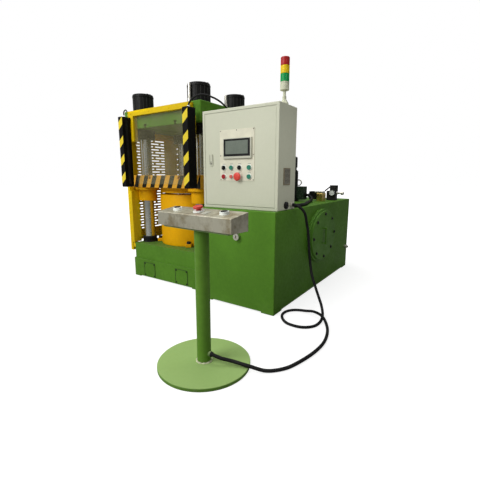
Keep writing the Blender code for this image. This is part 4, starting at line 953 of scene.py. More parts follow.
@dataclass
class Cables:
    """The free cable to the two-hand stand and the hoses that the machine holds."""

    cable_radius: float = 0.011
    straight: Point = (0.012, 0, 0)
    cable_route: list[Point] = field(default_factory=lambda: [
        (0.8706, -0.1087, 0.8635), (0.9007, -0.1055, 0.8454), (0.9218, -0.0975, 0.8173), (0.9306, -0.085, 0.7866),
        (0.9345, -0.059, 0.715), (0.9405, -0.034, 0.62), (0.9575, -0.0285, 0.43), (0.9945, -0.06, 0.302),
        (1.0345, -0.083, 0.22), (1.075, -0.1, 0.14), (1.107, -0.119, 0.085), (1.1315, -0.147, 0.0455),
        (1.1505, -0.187, 0.0215), (1.1645, -0.242, 0.0125), (1.1725, -0.312, 0.0115), (1.1625, -0.384, 0.0115),
        (1.1205, -0.441, 0.0115), (1.0545, -0.466, 0.0115), (0.9685, -0.454, 0.0115), (0.9015, -0.394, 0.0115),
        (0.8685, -0.32, 0.0115), (0.8765, -0.244, 0.0115), (0.9245, -0.191, 0.0125), (1.0065, -0.177, 0.0195),
        (1.0835, -0.196, 0.037), (1.1715, -0.25, 0.0385), (1.2455, -0.35, 0.0165), (1.2885, -0.47, 0.0115),
        (1.3095, -0.605, 0.0115), (1.3015, -0.75, 0.0115), (1.2715, -0.895, 0.0115), (1.2325, -1.001, 0.0115),
        (1.1595, -1.084, 0.0135), (1.0735, -1.127, 0.0325), (0.9755, -1.157, 0.0465), (0.9135, -1.19, 0.061)])
    right_route: list[Point] = field(default_factory=lambda: [
        (0, 0, 0), (0, 0, 0.018), (0.01, 0.01, 0.05), (0.05, 0.035, 0.09), (0.1, 0.07, 0.102),
        (0.13, 0.12, 0.096), (0.145, 0.2, 0.083), (0.15, 0.28, 0.06), (0.155, 0.372, 0.01), (0.165, 0.387, -0.06),
        (0.17, 0.367, -0.11), (0.17, 0.342, -0.135)])
    left_route: list[Point] = field(default_factory=lambda: [
        (0, 0, 0), (0, 0, 0.018), (-0.015, 0.012, 0.054), (-0.036, 0.053, 0.081), (-0.036, 0.077, 0.051)])
    motor_route: list[Point] = field(default_factory=lambda: [
        (0, 0, 0), (0.02, 0, 0), (0.06, -0.016, -0.01), (0.104, -0.06, -0.031), (0.123, -0.12, -0.047),
        (0.137, -0.197, -0.053), (0.18, -0.35, -0.053), (0.226, -0.5, -0.053), (0.238, -0.62, -0.053),
        (0.23, -0.72, -0.053), (0.222, -0.79, -0.053)])

    def build(self) -> None:
        """Lays the cable first, then the hoses."""
        self.build_cable()
        self.build_hoses()

    def build_cable(self) -> None:
        """Lays the stand's cable with its gland and its entry into the tube."""
        low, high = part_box("cable_gland")
        gland = middle("cable_gland")
        start = Vector((high.x + SKIN, gland.y, gland.z))
        straight = Vector(self.straight)
        end = Vector((STAND_AT[0] + TUBE_RADIUS + straight.x + SKIN, STAND_AT[1], CABLE_HEIGHT))
        points = [start, start + straight, *self.cable_route, end + straight, end]
        cable, length = hose("stand_cable", points, self.cable_radius, "cable")
        collar = [(0, 0.024), (0.0115, 0.024), (0.0125, 0.018), (0.017, 0.015), (0.018, 0.012), (0.018, 0.009),
                  (0.0195, 0.0085), (0.0195, 0), (0, 0)]
        Former("gland_body").lathe(collar, (low.x, start.y, start.z), Axis.X, 48).done(
            "zinc", node="cable_gland", slot=Slot.BLACK_PLASTIC)
        cuff = [(0.0112, 0.012), (0.0135, 0.01), (0.0155, 0), (0.0112, 0)]
        Former("tube_grommet").lathe(cuff, end, Axis.X, 32, closed=True).done("rubber")
        relief, _ = hose("strain_relief", points[:4], 0.0152)
        spline = relief.data.splines[0].points
        for i, point in enumerate(spline):
            point.radius = 1.0 - 0.26 * i / (len(spline) - 1)

    def build_hoses(self) -> None:
        """Lays the light curtains' hoses and the motor's hose."""
        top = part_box("curtain_left")[1].z + SKIN
        bar_low, bar_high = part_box("guard_frame")
        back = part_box("cabinet")[1].y + SKIN
        left, right = (Vector((*middle(node).xy, top)) for node in ("curtain_left", "curtain_right"))
        motor = Vector((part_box("tank_hose")[0].x, 0.79, 0.9006))
        end = Vector((bar_low.x - SKIN, bar_high.y - 0.025, bar_high.z - 0.025))
        route = [left + Vector(p) for p in self.left_route]
        hose("left_curtain_hose", [*route, end - Vector(self.straight), end], 0.006, "hose_left")
        for name, start, steps, radius, node in (
                ("right_curtain_hose", right, self.right_route, 0.008, "hose_right"),
                ("motor_hose", motor, self.motor_route, 0.015, "tank_hose")):
            route = [start + Vector(p) for p in steps]
            entry = Vector((route[-1].x, back, route[-1].z))
            hose(name, [*route, entry], radius, node)
        nuts = Former("hose_nuts")
        for centre in (left, right):
            nuts.lathe([(0.009, 0.016), (0.013, 0.013), (0.013, 0), (0.009, 0)], centre, Axis.Z, 6, closed=True)
        nuts.lathe([(0.0065, 0.012), (0.011, 0.01), (0.011, 0), (0.0065, 0)], end, Axis.LEFT, 6, closed=True)
        nuts.done("pale")
        glands = Former("motor_hose_glands")
        gland = [(0.0152, 0.02), (0.018, 0.019), (0.018, 0.009), (0.0215, 0.008), (0.0215, 0.0), (0.0152, 0.0)]
        for centre, axis in ((motor, Axis.X), (entry, Axis.Y)):
            glands.lathe(gland, centre, axis, 24, closed=True)
        glands.done("black_plastic")


@dataclass
class Press:
    """Base, cylinder, ram, columns, crown and platen."""

    column_radius: float = 0.06
    nut_radius: float = 0.076
    collar_radius: float = 0.105
    cap_radius: float = 0.105
    cylinder_radius: float = 0.34
    cylinder_top: float = 0.909
    lug_reach: float = 0.392
    lug_width: float = 0.062
    lug_height: float = 0.036
    lug_turn: float = math.radians(-54)
    plate_radius: float = 0.335
    plate_under: float = 0.927
    ram_radius: float = 0.25
    bush_radius: float = 0.096
    flange_radius: float = 0.128
    deck: float = 1.76
    ceiling: float = 1.577 - SKIN

    def build(self) -> None:
        """Dresses and builds every piece of the press."""
        dress({"base": ("green", 0.002), "crown": ("green", 0.0025), "platen": ("platen", 0.002)})
        self.build_covers()
        self.build_fittings()
        self.build_cylinder()
        self.build_ram()
        for corner in CORNERS:
            self.build_column(corner)
            self.build_cap(corner)
            self.build_bush(corner)

    def build_covers(self) -> None:
        """Adds the screws of the cover plates on the plinth and black strips along their sides and tops, which paint
        the shade in the gaps around them.
        """
        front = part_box("base")[0].y
        centre = middle("base").x
        low, high, width, inset, half = 0.022, 0.172, 0.165, 0.012, 0.0016
        screws = Former("cover_screws_and_gap_shade")
        for left in (centre - 0.31, centre + 0.165):
            for x in (left + inset, left + width - inset):
                for z in (low + inset, high - inset):
                    screws.screw((x, front + 0.0012, z), Axis.FRONT, 0.0075, 0.0032)
            # Black strips along the plates' sides and tops: painted shade in the gaps around the plates.
            for x in (left, left + width):
                screws.block((x - half, front - SKIN, low), (x + half, front + 0.001, high))
            screws.block((left, front - SKIN, high - half), (left + width, front + 0.001, high + half))
        screws.done("black")

    def build_fittings(self) -> None:
        """Turns the two fittings on the crown."""
        fittings = Former("crown_fittings")
        centre = middle("crown")
        for x, y, top in ((0.385, -0.408, 1.918), (0.508, -0.03, 1.866)):
            tip = top - self.deck
            profile = [(0, tip), (0.0105, tip), (0.0124, tip - 0.006), (0.0124, 0.03), (0.0165, 0.028),
                       (0.0165, 0.006), (0.0185, 0.004), (0.0185, SKIN), (0, SKIN)]
            fittings.lathe(profile, (centre.x + x, centre.y + y, self.deck), Axis.Z, 24)
        fittings.done("zinc")

    def build_cylinder(self) -> None:
        """Turns the main cylinder and adds its lugs and their bolts."""
        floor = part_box("main_cylinder")[0].z
        at = Vector((*middle("ram").xy, floor))
        wall = self.cylinder_radius
        top = self.cylinder_top - floor
        bore = self.ram_radius + 0.0005
        profile = [(0, 0.05), (bore, 0.05), (bore, top + 0.006), (0.283, top + 0.006), (0.285, top + 0.004),
                   (0.285, top), (wall - 0.008, top), (wall - 0.002, top - 0.003), (wall, top - 0.008),
                   (wall, 0.012), (wall, 0.006), (wall - 0.003, 0), (0, 0)]
        Former("cylinder_body").lathe(profile, at, Axis.Z, 128).done("amber", node="main_cylinder")
        lugs = Former("cylinder_lugs")
        bolts = Former("cylinder_bolts")
        for i in range(4):
            turn = Matrix.Rotation(self.lug_turn + i * math.pi / 2, 3, "Z")
            half = self.lug_width / 2
            lugs.block(at + Vector((wall - 0.008, -half, 0)), at + Vector((self.lug_reach, half, self.lug_height)),
                       turn, (at.x, at.y, 0))
            bolts.screw(at + turn @ Vector((0.366, 0, self.lug_height)), Axis.Z, 0.021, 0.024)
        lugs.done("amber", bevel=0.006)
        bolts.done("black")

    def build_ram(self) -> None:
        """Turns the chromed ram and the painted plate on it."""
        low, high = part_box("ram")
        at = Vector((*middle("ram").xy, 0))
        wall, under = self.plate_radius, self.plate_under
        groove = (high.z + under) / 2
        plate = [(0, high.z), (wall - 0.002, high.z), (wall, high.z - 0.002), (wall, groove + 0.004),
                 (wall - 0.004, groove + 0.002), (wall - 0.004, groove - 0.002), (wall, groove - 0.004),
                 (wall, under + 0.002), (wall - 0.002, under), (self.ram_radius, under), (0, under)]
        Former("ram_plate").lathe(plate, at, Axis.Z, 128).done("amber", "platen", "ram")
        rod = [(0, under), (self.ram_radius, under), (self.ram_radius, low.z), (0, low.z)]
        Former("ram_rod").lathe(rod, at, Axis.Z, 96).done("chrome", "platen")
        boss = around(0.318, math.radians(-72), at + Vector((0, 0, under - 0.011)))
        Former("ram_boss").rod(boss, boss + Vector((0, 0, 0.012)), 0.01).done("zinc", "platen")

    def build_column(self, corner: str) -> None:
        """Turns one column, its foot nut and its collar.

        Args:
            corner: The corner's name.
        """
        node = "column_" + corner
        at = (*middle(node).xy, 0)
        bottom, top = (point.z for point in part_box(node))
        r, n, c = self.column_radius, self.nut_radius, self.collar_radius
        rod = [(0, top), (r - 0.002, top), (r, top - 0.002), (r, bottom), (0, bottom)]
        Former(node + "_rod").lathe(rod, at).done("chrome", node=node)
        rim = bottom + 0.066
        foot = [(r, rim), (n - 0.006, rim), (n, rim - 0.006), (n, bottom + 0.03), (n - 0.002, bottom + 0.028),
                (n, bottom + 0.026), (n, bottom), (r, bottom)]
        collar = [(r, self.ceiling), (c, self.ceiling), (c, 1.54), (c - 0.002, 1.538), (c - 0.002, 1.524),
                  (c, 1.522), (c, 1.488), (c - 0.005, 1.483), (r, 1.483)]
        nuts = Former(node + "_nuts").lathe(foot, at, Axis.Z, 48, closed=True)
        nuts.lathe(collar, at, Axis.Z, 64, closed=True).done("black")

    def build_cap(self, corner: str) -> None:
        """Turns the cap over one column's top nut, with its vertical bolts and ears.

        Args:
            corner: The corner's name.
        """
        node = "cap_" + corner
        at = Vector((*middle(node).xy, 0))
        low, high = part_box(node)
        low, top = low.z, high.z - 0.009
        r = self.cap_radius
        wall = [(0, top), (r - 0.007, top), (r - 0.002, top - 0.002), (r, top - 0.006), (r, top - 0.017),
                (r + 0.004, top - 0.018), (r + 0.004, top - 0.03), (r, top - 0.031), (r, low + 0.012),
                (r + 0.002, low + 0.01), (r + 0.002, low), (0.075, low), (0.075, top - 0.02), (0, top - 0.02)]
        cap = Former("cover_" + corner).lathe(wall, at, Axis.Z, 72)
        for i in range(18):
            spot = around(r, math.radians(20) * i, at)
            cap.rod((spot.x, spot.y, low + 0.016), (spot.x, spot.y, top - 0.034), 0.0026, 8)
        cap.done("black", node=node)
        ears = Former("ears_" + corner)
        for side in (-1, 1):
            ears.screw((at.x + side * 0.07, at.y, top), Axis.Z, 0.009, 0.009)
            x = at.x + side * 0.108
            ears.block((x - 0.004, at.y - 0.009, top - 0.03), (x + 0.004, at.y + 0.009, top - 0.002))
        ears.done("black")

    def build_bush(self, corner: str) -> None:
        """Turns one flanged guide bush.

        Args:
            corner: The corner's name.
        """
        node = "bush_" + corner
        bottom, top = (point.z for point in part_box(node))
        r, f = self.bush_radius, self.flange_radius
        bore = self.column_radius + 0.0005
        wall = [(bore, top), (f - 0.0015, top), (f, top - 0.0015), (f, top - 0.0245), (f - 0.0015, top - 0.026),
                (r, top - 0.026), (r, bottom + 0.004), (r - 0.004, bottom), (bore + 0.008, bottom),
                (bore + 0.008, bottom + 0.002), (bore, bottom + 0.002)]
        Former(node + "_body").lathe(wall, (*middle(node).xy, 0), Axis.Z, 72, closed=True).done(
            "amber", "platen", node)


class Guards:
    """Front frame, clear screen, light curtains and slotted guards."""

    def build(self) -> None:
        """Dresses and builds every guard."""
        # The right and back guards take the darker copy of the yellow, which paints their shade.
        dress({"guard_frame": ("lemon", 0.0012), "guard_left": ("lemon", 0.0), "guard_right": ("shaded_guard_yellow", 0.0),
               "guard_back": ("shaded_guard_yellow", 0.0), "screen": ("clear", 0.0), "curtain_left": ("left_curtain", 0.002),
               "curtain_right": ("right_curtain", 0.002)})
        self.build_windows()
        self.build_screws()

    def build_windows(self) -> None:
        """Adds the dark optic windows on the inner sides of the light curtains and their end caps."""
        windows = Former("curtain_windows")
        caps = Former("curtain_caps")
        for node, side in (("curtain_left", 1), ("curtain_right", -1)):
            low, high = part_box(node)
            face = high.x if side > 0 else low.x
            near, far = sorted((face, face + side * 0.0012))
            y = (low.y + high.y) / 2
            windows.block((near, y - 0.013, low.z + 0.03), (far, y + 0.013, high.z - 0.03))
            for z in (low.z, high.z - 0.014):
                caps.block((low.x - 0.0008, low.y + 0.004, z + 0.001), (high.x + 0.0008, high.y - 0.001, z + 0.013))
        windows.done("gloss_black")
        caps.done("black_plastic", bevel=0.0008)

    def build_screws(self) -> None:
        """Adds the screws of the frame, the arms and the clear screen."""
        low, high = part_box("guard_frame")
        places = [(low.x + share * (high.x - low.x), high.z - 0.025) for share in (0.06, 0.35, 0.65, 0.94)]
        places += [(x, z) for x in (low.x + 0.03, high.x - 0.03) for z in (1.47, 1.6)]
        screws = Former("guard_screws")
        for x, z in places:
            screws.screw((x, low.y + 0.004, z), Axis.FRONT, 0.0055, 0.004)
        screws.done("lemon")


@dataclass
class PowerUnit:
    """Oil tank, cleaning cover, pump motor and valves."""

    motor_at: Point = (0.3195, 0.734, 0.8323)
    motor_radius: float = 0.146
    cowl_radius: float = 0.135
    fin_count: int = 36
    cover_at: Point = (0.8198, 0.549, 0.525)
    cover_length: float = 0.34
    cover_height: float = 0.26
    cover_depth: float = 0.048
    bolt_share: float = 0.81
    coil_floor: float = 0.85
    knob_length: float = 0.082

    def build(self) -> None:
        """Dresses and builds every piece of the power unit."""
        dress({"oil_tank": ("green", 0.003), "front_plug": ("zinc", 0.001), "drain_plug": ("zinc", 0.001),
               "relief_valve": ("black", 0.002)})
        self.build_cover()
        self.build_motor()
        self.build_valves()
        self.build_knob()
        self.build_gauge()

    def oval(self, share: float, depth: float, angle: float) -> Vector:
        """Gives a point of the oval cover.

        Args:
            share: How far out it lies, 1 at the rim.
            depth: Its distance from the tank's wall.
            angle: Its angle.

        Returns:
            The point.
        """
        along, up = self.cover_length * share * math.cos(angle), self.cover_height * share * math.sin(angle)
        return Vector(self.cover_at) + Vector((depth, along, up))

    def build_cover(self) -> None:
        """Builds the oval cleaning cover with its bolts and handle."""
        depth, sides = self.cover_depth, 96
        layers = [(0, depth), (0.915, depth), (0.93, 0.044), (0.93, 0.03), (0.99, 0.03), (1.0, 0.026), (1.0, 0.0),
                  (0, 0)]
        cover = Former("cover_plate").loft([
            [self.oval(share, height, FULL_TURN * i / sides) for i in range(sides if share else 1)]
            for share, height in layers])
        root = Vector(self.cover_at) + Vector((depth, -0.03, 0))
        for z in (-0.075, 0.075):
            cover.rod(root + Vector((-0.002, 0, z)), root + Vector((0.026, 0, z)), 0.0074)
        cover.rod(root + Vector((0.026, 0, -0.0825)), root + Vector((0.026, 0, 0.0825)), 0.0079)
        # The cover's lighter rim edges are partly wear and partly a painted highlight.
        cover.done("lid_green_rim_highlight", node="cleaning_cover", bevel=0.002)
        bolts = Former("cover_bolts")
        for i in range(8):
            bolts.hexagon(self.oval(self.bolt_share, depth, FULL_TURN * i / 8), Axis.X, 0.0125, 0.011)
        bolts.done("black")

    def build_motor(self) -> None:
        """Builds the finned pump motor, its fan cowl, terminal box and lifting eye."""
        x, y, floor = self.motor_at
        r, c = self.motor_radius, self.cowl_radius
        profile = [(0, 0.4727), (c - 0.02, 0.4727), (c - 0.006, 0.468), (c, 0.458), (c, 0.3597), (c - 0.002, 0.3577),
                   (0.1275, 0.3575), (0.1275, 0.333), (r - 0.014, 0.3325), (r - 0.01, 0.326), (r - 0.01, 0.06),
                   (r - 0.002, 0.056), (r - 0.002, 0.034), (0.16, 0.02), (0.16, 0.0), (0, 0)]
        motor = Former("motor_case").lathe(profile, self.motor_at, Axis.Z, 96)
        for i in range(self.fin_count):
            motor.block((x + r - 0.016, y - 0.0012, floor + 0.06), (x + r - 0.0004, y + 0.0012, floor + 0.322),
                        Matrix.Rotation(FULL_TURN * i / self.fin_count, 3, "Z"), (x, y, 0))
        motor.done("black", node="pump_motor")
        box = Former("terminal_box").block((0.4315, 0.735, 0.85), (0.5395, 0.845, 0.982))
        box.block((0.4315, 0.733, 0.9825), (0.5415, 0.847, 0.99)).done("dark_green", bevel=0.003)
        ring = [(0.029 + spot.x, spot.y) for spot in (around(0.006, FULL_TURN * i / 12) for i in range(12))]
        Former("lifting_eye").lathe(ring, (0.4657, 0.79, 1.03), Axis.Y, 40, closed=True).done("zinc")
        screws = Former("motor_screws")
        for i in range(4):
            screws.hexagon(around(0.147, math.pi / 4 + i * math.pi / 2, (x, y, floor + 0.02)), Axis.Z, 0.009, 0.009)
        screws.done("zinc")

    def build_valves(self) -> None:
        """Builds the brass valve block with its plugs, plate and black solenoid."""
        low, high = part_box("valve_block")
        split = high.x - 0.066
        Former("brass_block").block((split, low.y, low.z), (high.x, high.y, high.z - 0.02)).done(
            "brass", node="valve_block", bevel=0.003)
        plugs = Former("brass_plugs")
        plug = [(0, SKIN), (0.0105, SKIN), (0.0105, -0.0008), (0.0085, -0.0012), (0, -0.0012)]
        for x, z in ((0.017, 0.022), (0.048, 0.022), (0.032, 0.052)):
            plugs.lathe(plug, (split + x, low.y, low.z + z), Axis.Y, 6)
        plugs.done("brass")
        Former("valve_top").block((split - 0.03, low.y + 0.01, high.z - 0.0197),
                                  (high.x - 0.004, high.y - 0.01, high.z)).done("zinc", bevel=0.003)
        coil = Former("solenoid_coil").block((low.x + 0.016, low.y + 0.022, self.coil_floor),
                                             (split - SKIN, high.y - 0.022, 0.936))
        y = (low.y + high.y) / 2
        coil.rod((low.x, y, 0.893), (low.x + 0.016, y, 0.893), 0.021, 32)
        coil.block((low.x + 0.03, y - 0.016, 0.936), (low.x + 0.066, y + 0.016, 0.938))
        coil.done("black_plastic", slot=Slot.BLACK, bevel=0.003)
        screws = Former("valve_screws")
        for x in (split - 0.018, high.x - 0.014):
            for y in (low.y + 0.02, high.y - 0.02):
                screws.lathe([(0, 0), (0.0055, 0), (0.0055, -0.0006), (0, -0.0006)], (x, y, high.z), Axis.Z, 16)
        screws.done("black")

    def build_knob(self) -> None:
        """Builds the relief valve's screw with its ribbed knob."""
        at = middle("relief_knob")
        at.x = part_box("relief_knob")[0].x
        length = self.knob_length
        grip = [(0, length), (0.017, length), (0.019, length - 0.003), (0.019, length - 0.027),
                (0.0155, length - 0.03), (0.0105, length - 0.032), (0.0105, 0.022), (0.014, 0.02), (0.014, 0.0),
                (0, 0)]
        knob = Former("relief_screw").lathe(grip, at, Axis.X, 36)
        for i in range(18):
            out = around(0.0178, FULL_TURN * i / 18)
            spot = at + Vector((length - 0.026, out.x, out.y))
            knob.rod(spot, spot + Vector((0.022, 0, 0)), 0.0012, 6)
        knob.done("zinc", "relief", "relief_knob")

    def build_gauge(self) -> None:
        """Builds the pressure gauge with its plain dial, marks and pointer."""
        centre = middle("pressure_gauge")
        centre.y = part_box("pressure_gauge")[1].y
        face = centre.y - 0.0192
        case = [(0, 0), (0.031, 0), (0.034, 0.003), (0.034, 0.022), (0.0305, 0.022), (0.0295, 0.019), (0, 0.019)]
        Former("gauge_case").lathe(case, centre, Axis.FRONT).done(
            "black_plastic", node="pressure_gauge", slot=Slot.STEEL)
        Former("gauge_dial").lathe([(0, 0.0005), (0.029, 0.0005), (0.029, 0), (0, 0)], (centre.x, face, centre.z),
                                   Axis.FRONT, 48).done("pale", slot=Slot.STEEL)
        marks = Former("gauge_marks")
        dashes = [(0.0006, 0.021, 0.0265, 0.001, 0.0004, -135 + 27 * i) for i in range(11)]
        for half, low, high, front, back, angle in [*dashes, (0.001, -0.007, 0.02, 0.0016, 0.0009, -135)]:
            marks.block((centre.x - half, face - front, centre.z + low),
                        (centre.x + half, face - back, centre.z + high),
                        Matrix.Rotation(math.radians(angle), 3, "Y"), centre)
        marks.done("gloss_black", slot=Slot.BLACK)


@dataclass
class Cabinet:
    """Cabinet, door, operator plate and its devices."""

    face: float = -0.3373
    right: float = 0.8065
    ring_radius: float = 0.0225
    pushes: tuple[tuple[str, float, str], ...] = (
        ("upper_left", 0.0225, "teal"), ("upper_right", 0.0225, "teal"), ("lower_left", 0.0225, "dark_red"),
        ("lower_middle", 0.019, "rose"), ("lower_right", 0.0225, "teal"))

    def build(self) -> None:
        """Dresses and builds every piece of the cabinet."""
        dress({"cabinet": ("grey", 0.0025), "cabinet_door": ("grey", 0.002), "operator_plate": ("cream", 0.0006),
               "screen_unit": ("bezel", 0.002), "door_lock": ("grey", 0.001)})
        self.build_lock()
        self.build_screen()
        self.build_devices()
        self.build_plate_screws()
        self.build_side()

    def build_lock(self) -> None:
        """Builds the lock's key hole and black strips beside its handle, which paint the shade in the gaps there."""
        low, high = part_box("door_lock")
        hole = Vector((middle("door_lock").x, low.y, low.z + 0.026))
        key = Former("lock_key_and_gap_shade").lathe([(0, 0.0006), (0.0055, 0.0006), (0.006, 0), (0, 0)], hole, Axis.FRONT, 32)
        key.lathe([(0.0112, 0.0004), (0.014, 0.0004), (0.014, -SKIN), (0.0112, -SKIN)], hole, Axis.FRONT, 32,
                  closed=True)
        # Black strips beside the handle: painted shade in the gaps between the handle and its housing.
        for x in (hole.x - 0.0126, hole.x + 0.0126):
            key.block((x - 0.0014, low.y - 0.0004, hole.z + 0.01), (x + 0.0014, low.y + SKIN, high.z - 0.008))
        key.done("black_plastic", "lock")

    def build_screen(self) -> None:
        """Builds the screen's dark rim and its glass."""
        low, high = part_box("screen_unit")
        Former("screen_rim").block((low.x + 0.0065, low.y - 0.0012, low.z + 0.018),
                                   (high.x - 0.01, low.y + 0.002, high.z - 0.0065)).done(
            "gloss_black", "door", bevel=0.001)
        Former("screen_glass").block((low.x + 0.0257, low.y - 0.0018, low.z + 0.036),
                                     (high.x - 0.03, low.y - 0.0011, high.z - 0.0215)).done("display", "door")

    def build_devices(self) -> None:
        """Builds bezels, buttons, selectors, the stop button and the blank legend plates."""
        bezels = Former("device_bezels")
        legends = Former("legend_plates")
        for place_name, ring, finish in self.pushes:
            node = "push_" + place_name
            at = self.add_bezel(bezels, legends, node, ring)
            cap = ring - 0.0041
            profile = [(0, 0.0133), (cap * 0.6, 0.0136), (cap - 0.002, 0.014), (cap, 0.0125), (cap, 0.0044),
                       (0, 0.0044)]
            Former(node + "_cap").lathe(profile, at, Axis.FRONT, 40).done(finish, place_name + "_push", node)
        for side in ("left", "right"):
            node, body = "selector_" + side, side + "_selector"
            at = self.add_bezel(bezels, legends, node, self.ring_radius)
            dial = Former(node + "_knob").lathe([(0, 0.014), (0.0166, 0.014), (0.0182, 0.0125), (0.0182, 0.0006),
                                                 (0, 0.0006)], at, Axis.FRONT, 40)
            dial.block(at + Vector((-0.0045, -0.028, -0.015)), at + Vector((0.0045, -0.0125, 0.015)))
            dial.done("black_plastic", body, node, bevel=0.0012)
            mark = Former(node + "_mark")
            mark.block(at + Vector((-0.0007, -0.0284, 0.001)), at + Vector((0.0007, -0.0278, 0.0115)))
            mark.done("pale", body, slot=Slot.BLACK_PLASTIC)
        at = self.add_bezel(bezels, legends, "emergency_stop", 0.024)
        head = [(0, 0.032), (0.023, 0.0315), (0.03, 0.0295), (0.033, 0.026), (0.033, 0.019), (0.031, 0.016),
                (0.013, 0.0155), (0.013, 0.0045), (0, 0.0045)]
        Former("stop_head").lathe(head, at, Axis.FRONT, 56).done("red", "panel_stop", "emergency_stop")
        bezels.done("pale", "door", slot=Slot.STEEL)
        legends.done("legend", "door")

    def add_bezel(self, bezels: Former, legends: Former, node: str, radius: float) -> Vector:
        """Adds one device's bezel ring and the blank legend plate above it.

        Args:
            bezels: The former of all the rings.
            legends: The former of all the legend plates.
            node: The device's CAD node.
            radius: The ring's outer radius.

        Returns:
            The device's middle on the plate.
        """
        at = middle(node)
        at.y = self.face
        ring = [(radius - 0.0038, 0.0062), (radius - 0.003, 0.0068), (radius - 0.001, 0.0064),
                (radius + 0.0003, 0.0045), (radius + 0.0003, SKIN), (radius - 0.0038, SKIN)]
        bezels.lathe(ring, at, Axis.FRONT, 40, closed=True)
        legends.block(at + Vector((-0.014, -0.0006, 0.0265)), at + Vector((0.014, 0.0002, 0.0325)))
        return at

    def build_plate_screws(self) -> None:
        """Adds the screws at the operator plate's edges."""
        low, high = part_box("operator_plate")
        screws = Former("plate_screws")
        for x in (low.x + 0.008, (low.x + high.x) / 2, high.x - 0.008):
            for z in (low.z + 0.008, (low.z + high.z) / 2, high.z - 0.008):
                if z > high.z - 0.02 or not low.x + 0.02 < x < high.x - 0.02:
                    screws.screw((x, self.face + 0.0004, z), Axis.FRONT, 0.004, 0.0022)
        screws.done("black", "door")

    def build_side(self) -> None:
        """Builds the side vent's plate, a dark sheet that paints the shade behind the slats, the slats and the black
        side plug.
        """
        right, front, back = self.right, -0.2425, -0.1535
        Former("vent_plate").block((right + SKIN, -0.2523, 1.0307), (right + 0.0083, -0.1437, 1.1613)).done(
            "vent", bevel=0.0015)
        # A dark sheet behind the slats: painted shade in the vent's depth.
        Former("vent_shade_sheet").block((right + 0.008, front, 1.0385), (right + 0.0088, back, 1.1535)).done("vent_painted_shade")
        slats = Former("vent_slats")
        for z in (1.041 + i * 0.0096 for i in range(12)):
            slats.block((right + 0.0078, front, z), (right + 0.0096, back, z + 0.005),
                        Matrix.Rotation(math.radians(-18), 3, "Y"), (right + 0.008, -0.198, z))
        slats.done("bezel", bevel=0.0006)
        plug = [(0, 0.019), (0.021, 0.019), (0.0265, 0.016), (0.0285, 0.011), (0.0285, 0), (0, 0)]
        Former("side_plug").lathe(plug, (right, -0.201, 0.871), Axis.X, 40).done("gloss_black")


@dataclass
class SignalLamp:
    """The signal lamp on the cabinet."""

    radius: float = 0.034
    ribs: int = 9

    def build(self) -> None:
        """Turns the stem and the three ribbed lenses."""
        at = Vector((*middle("lamp_stem").xy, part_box("lamp_stem")[0].z))
        r = self.radius
        stem = [(0, 0.1607), (r - 0.002, 0.1607), (r, 0.158), (r, 0.104), (r - 0.003, 0.1007), (0.011, 0.1005),
                (0.011, 0.064), (0.0145, 0.056), (0.015, 0.047), (0.013, 0.04), (0.018, 0.032), (0.027, 0.016),
                (0.032, 0.0095), (0.032, 0.0), (0, 0)]
        Former("lamp_foot").lathe(stem, at).done("grey_plastic", node="lamp_stem")
        for colour in ("green", "amber", "red"):
            node = "lens_" + colour
            low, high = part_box(node)
            top = high.z - low.z - 0.003
            step = (top - 0.003) / self.ribs
            profile = [(0, top + 0.003), (r - 0.004, top + 0.003), (r - 0.001, top)]
            for start in (top - i * step for i in range(self.ribs)):
                profile += [(r - 0.0002, start - step * 0.3), (r - 0.0009, start - step * 0.85)]
            profile += [(r, 0.002), (r - 0.001, 0), (0, 0)]
            Former(node + "_shell").lathe(profile, (at.x, at.y, low.z)).done(
                colour + "_lens", node=node, sharp=60)


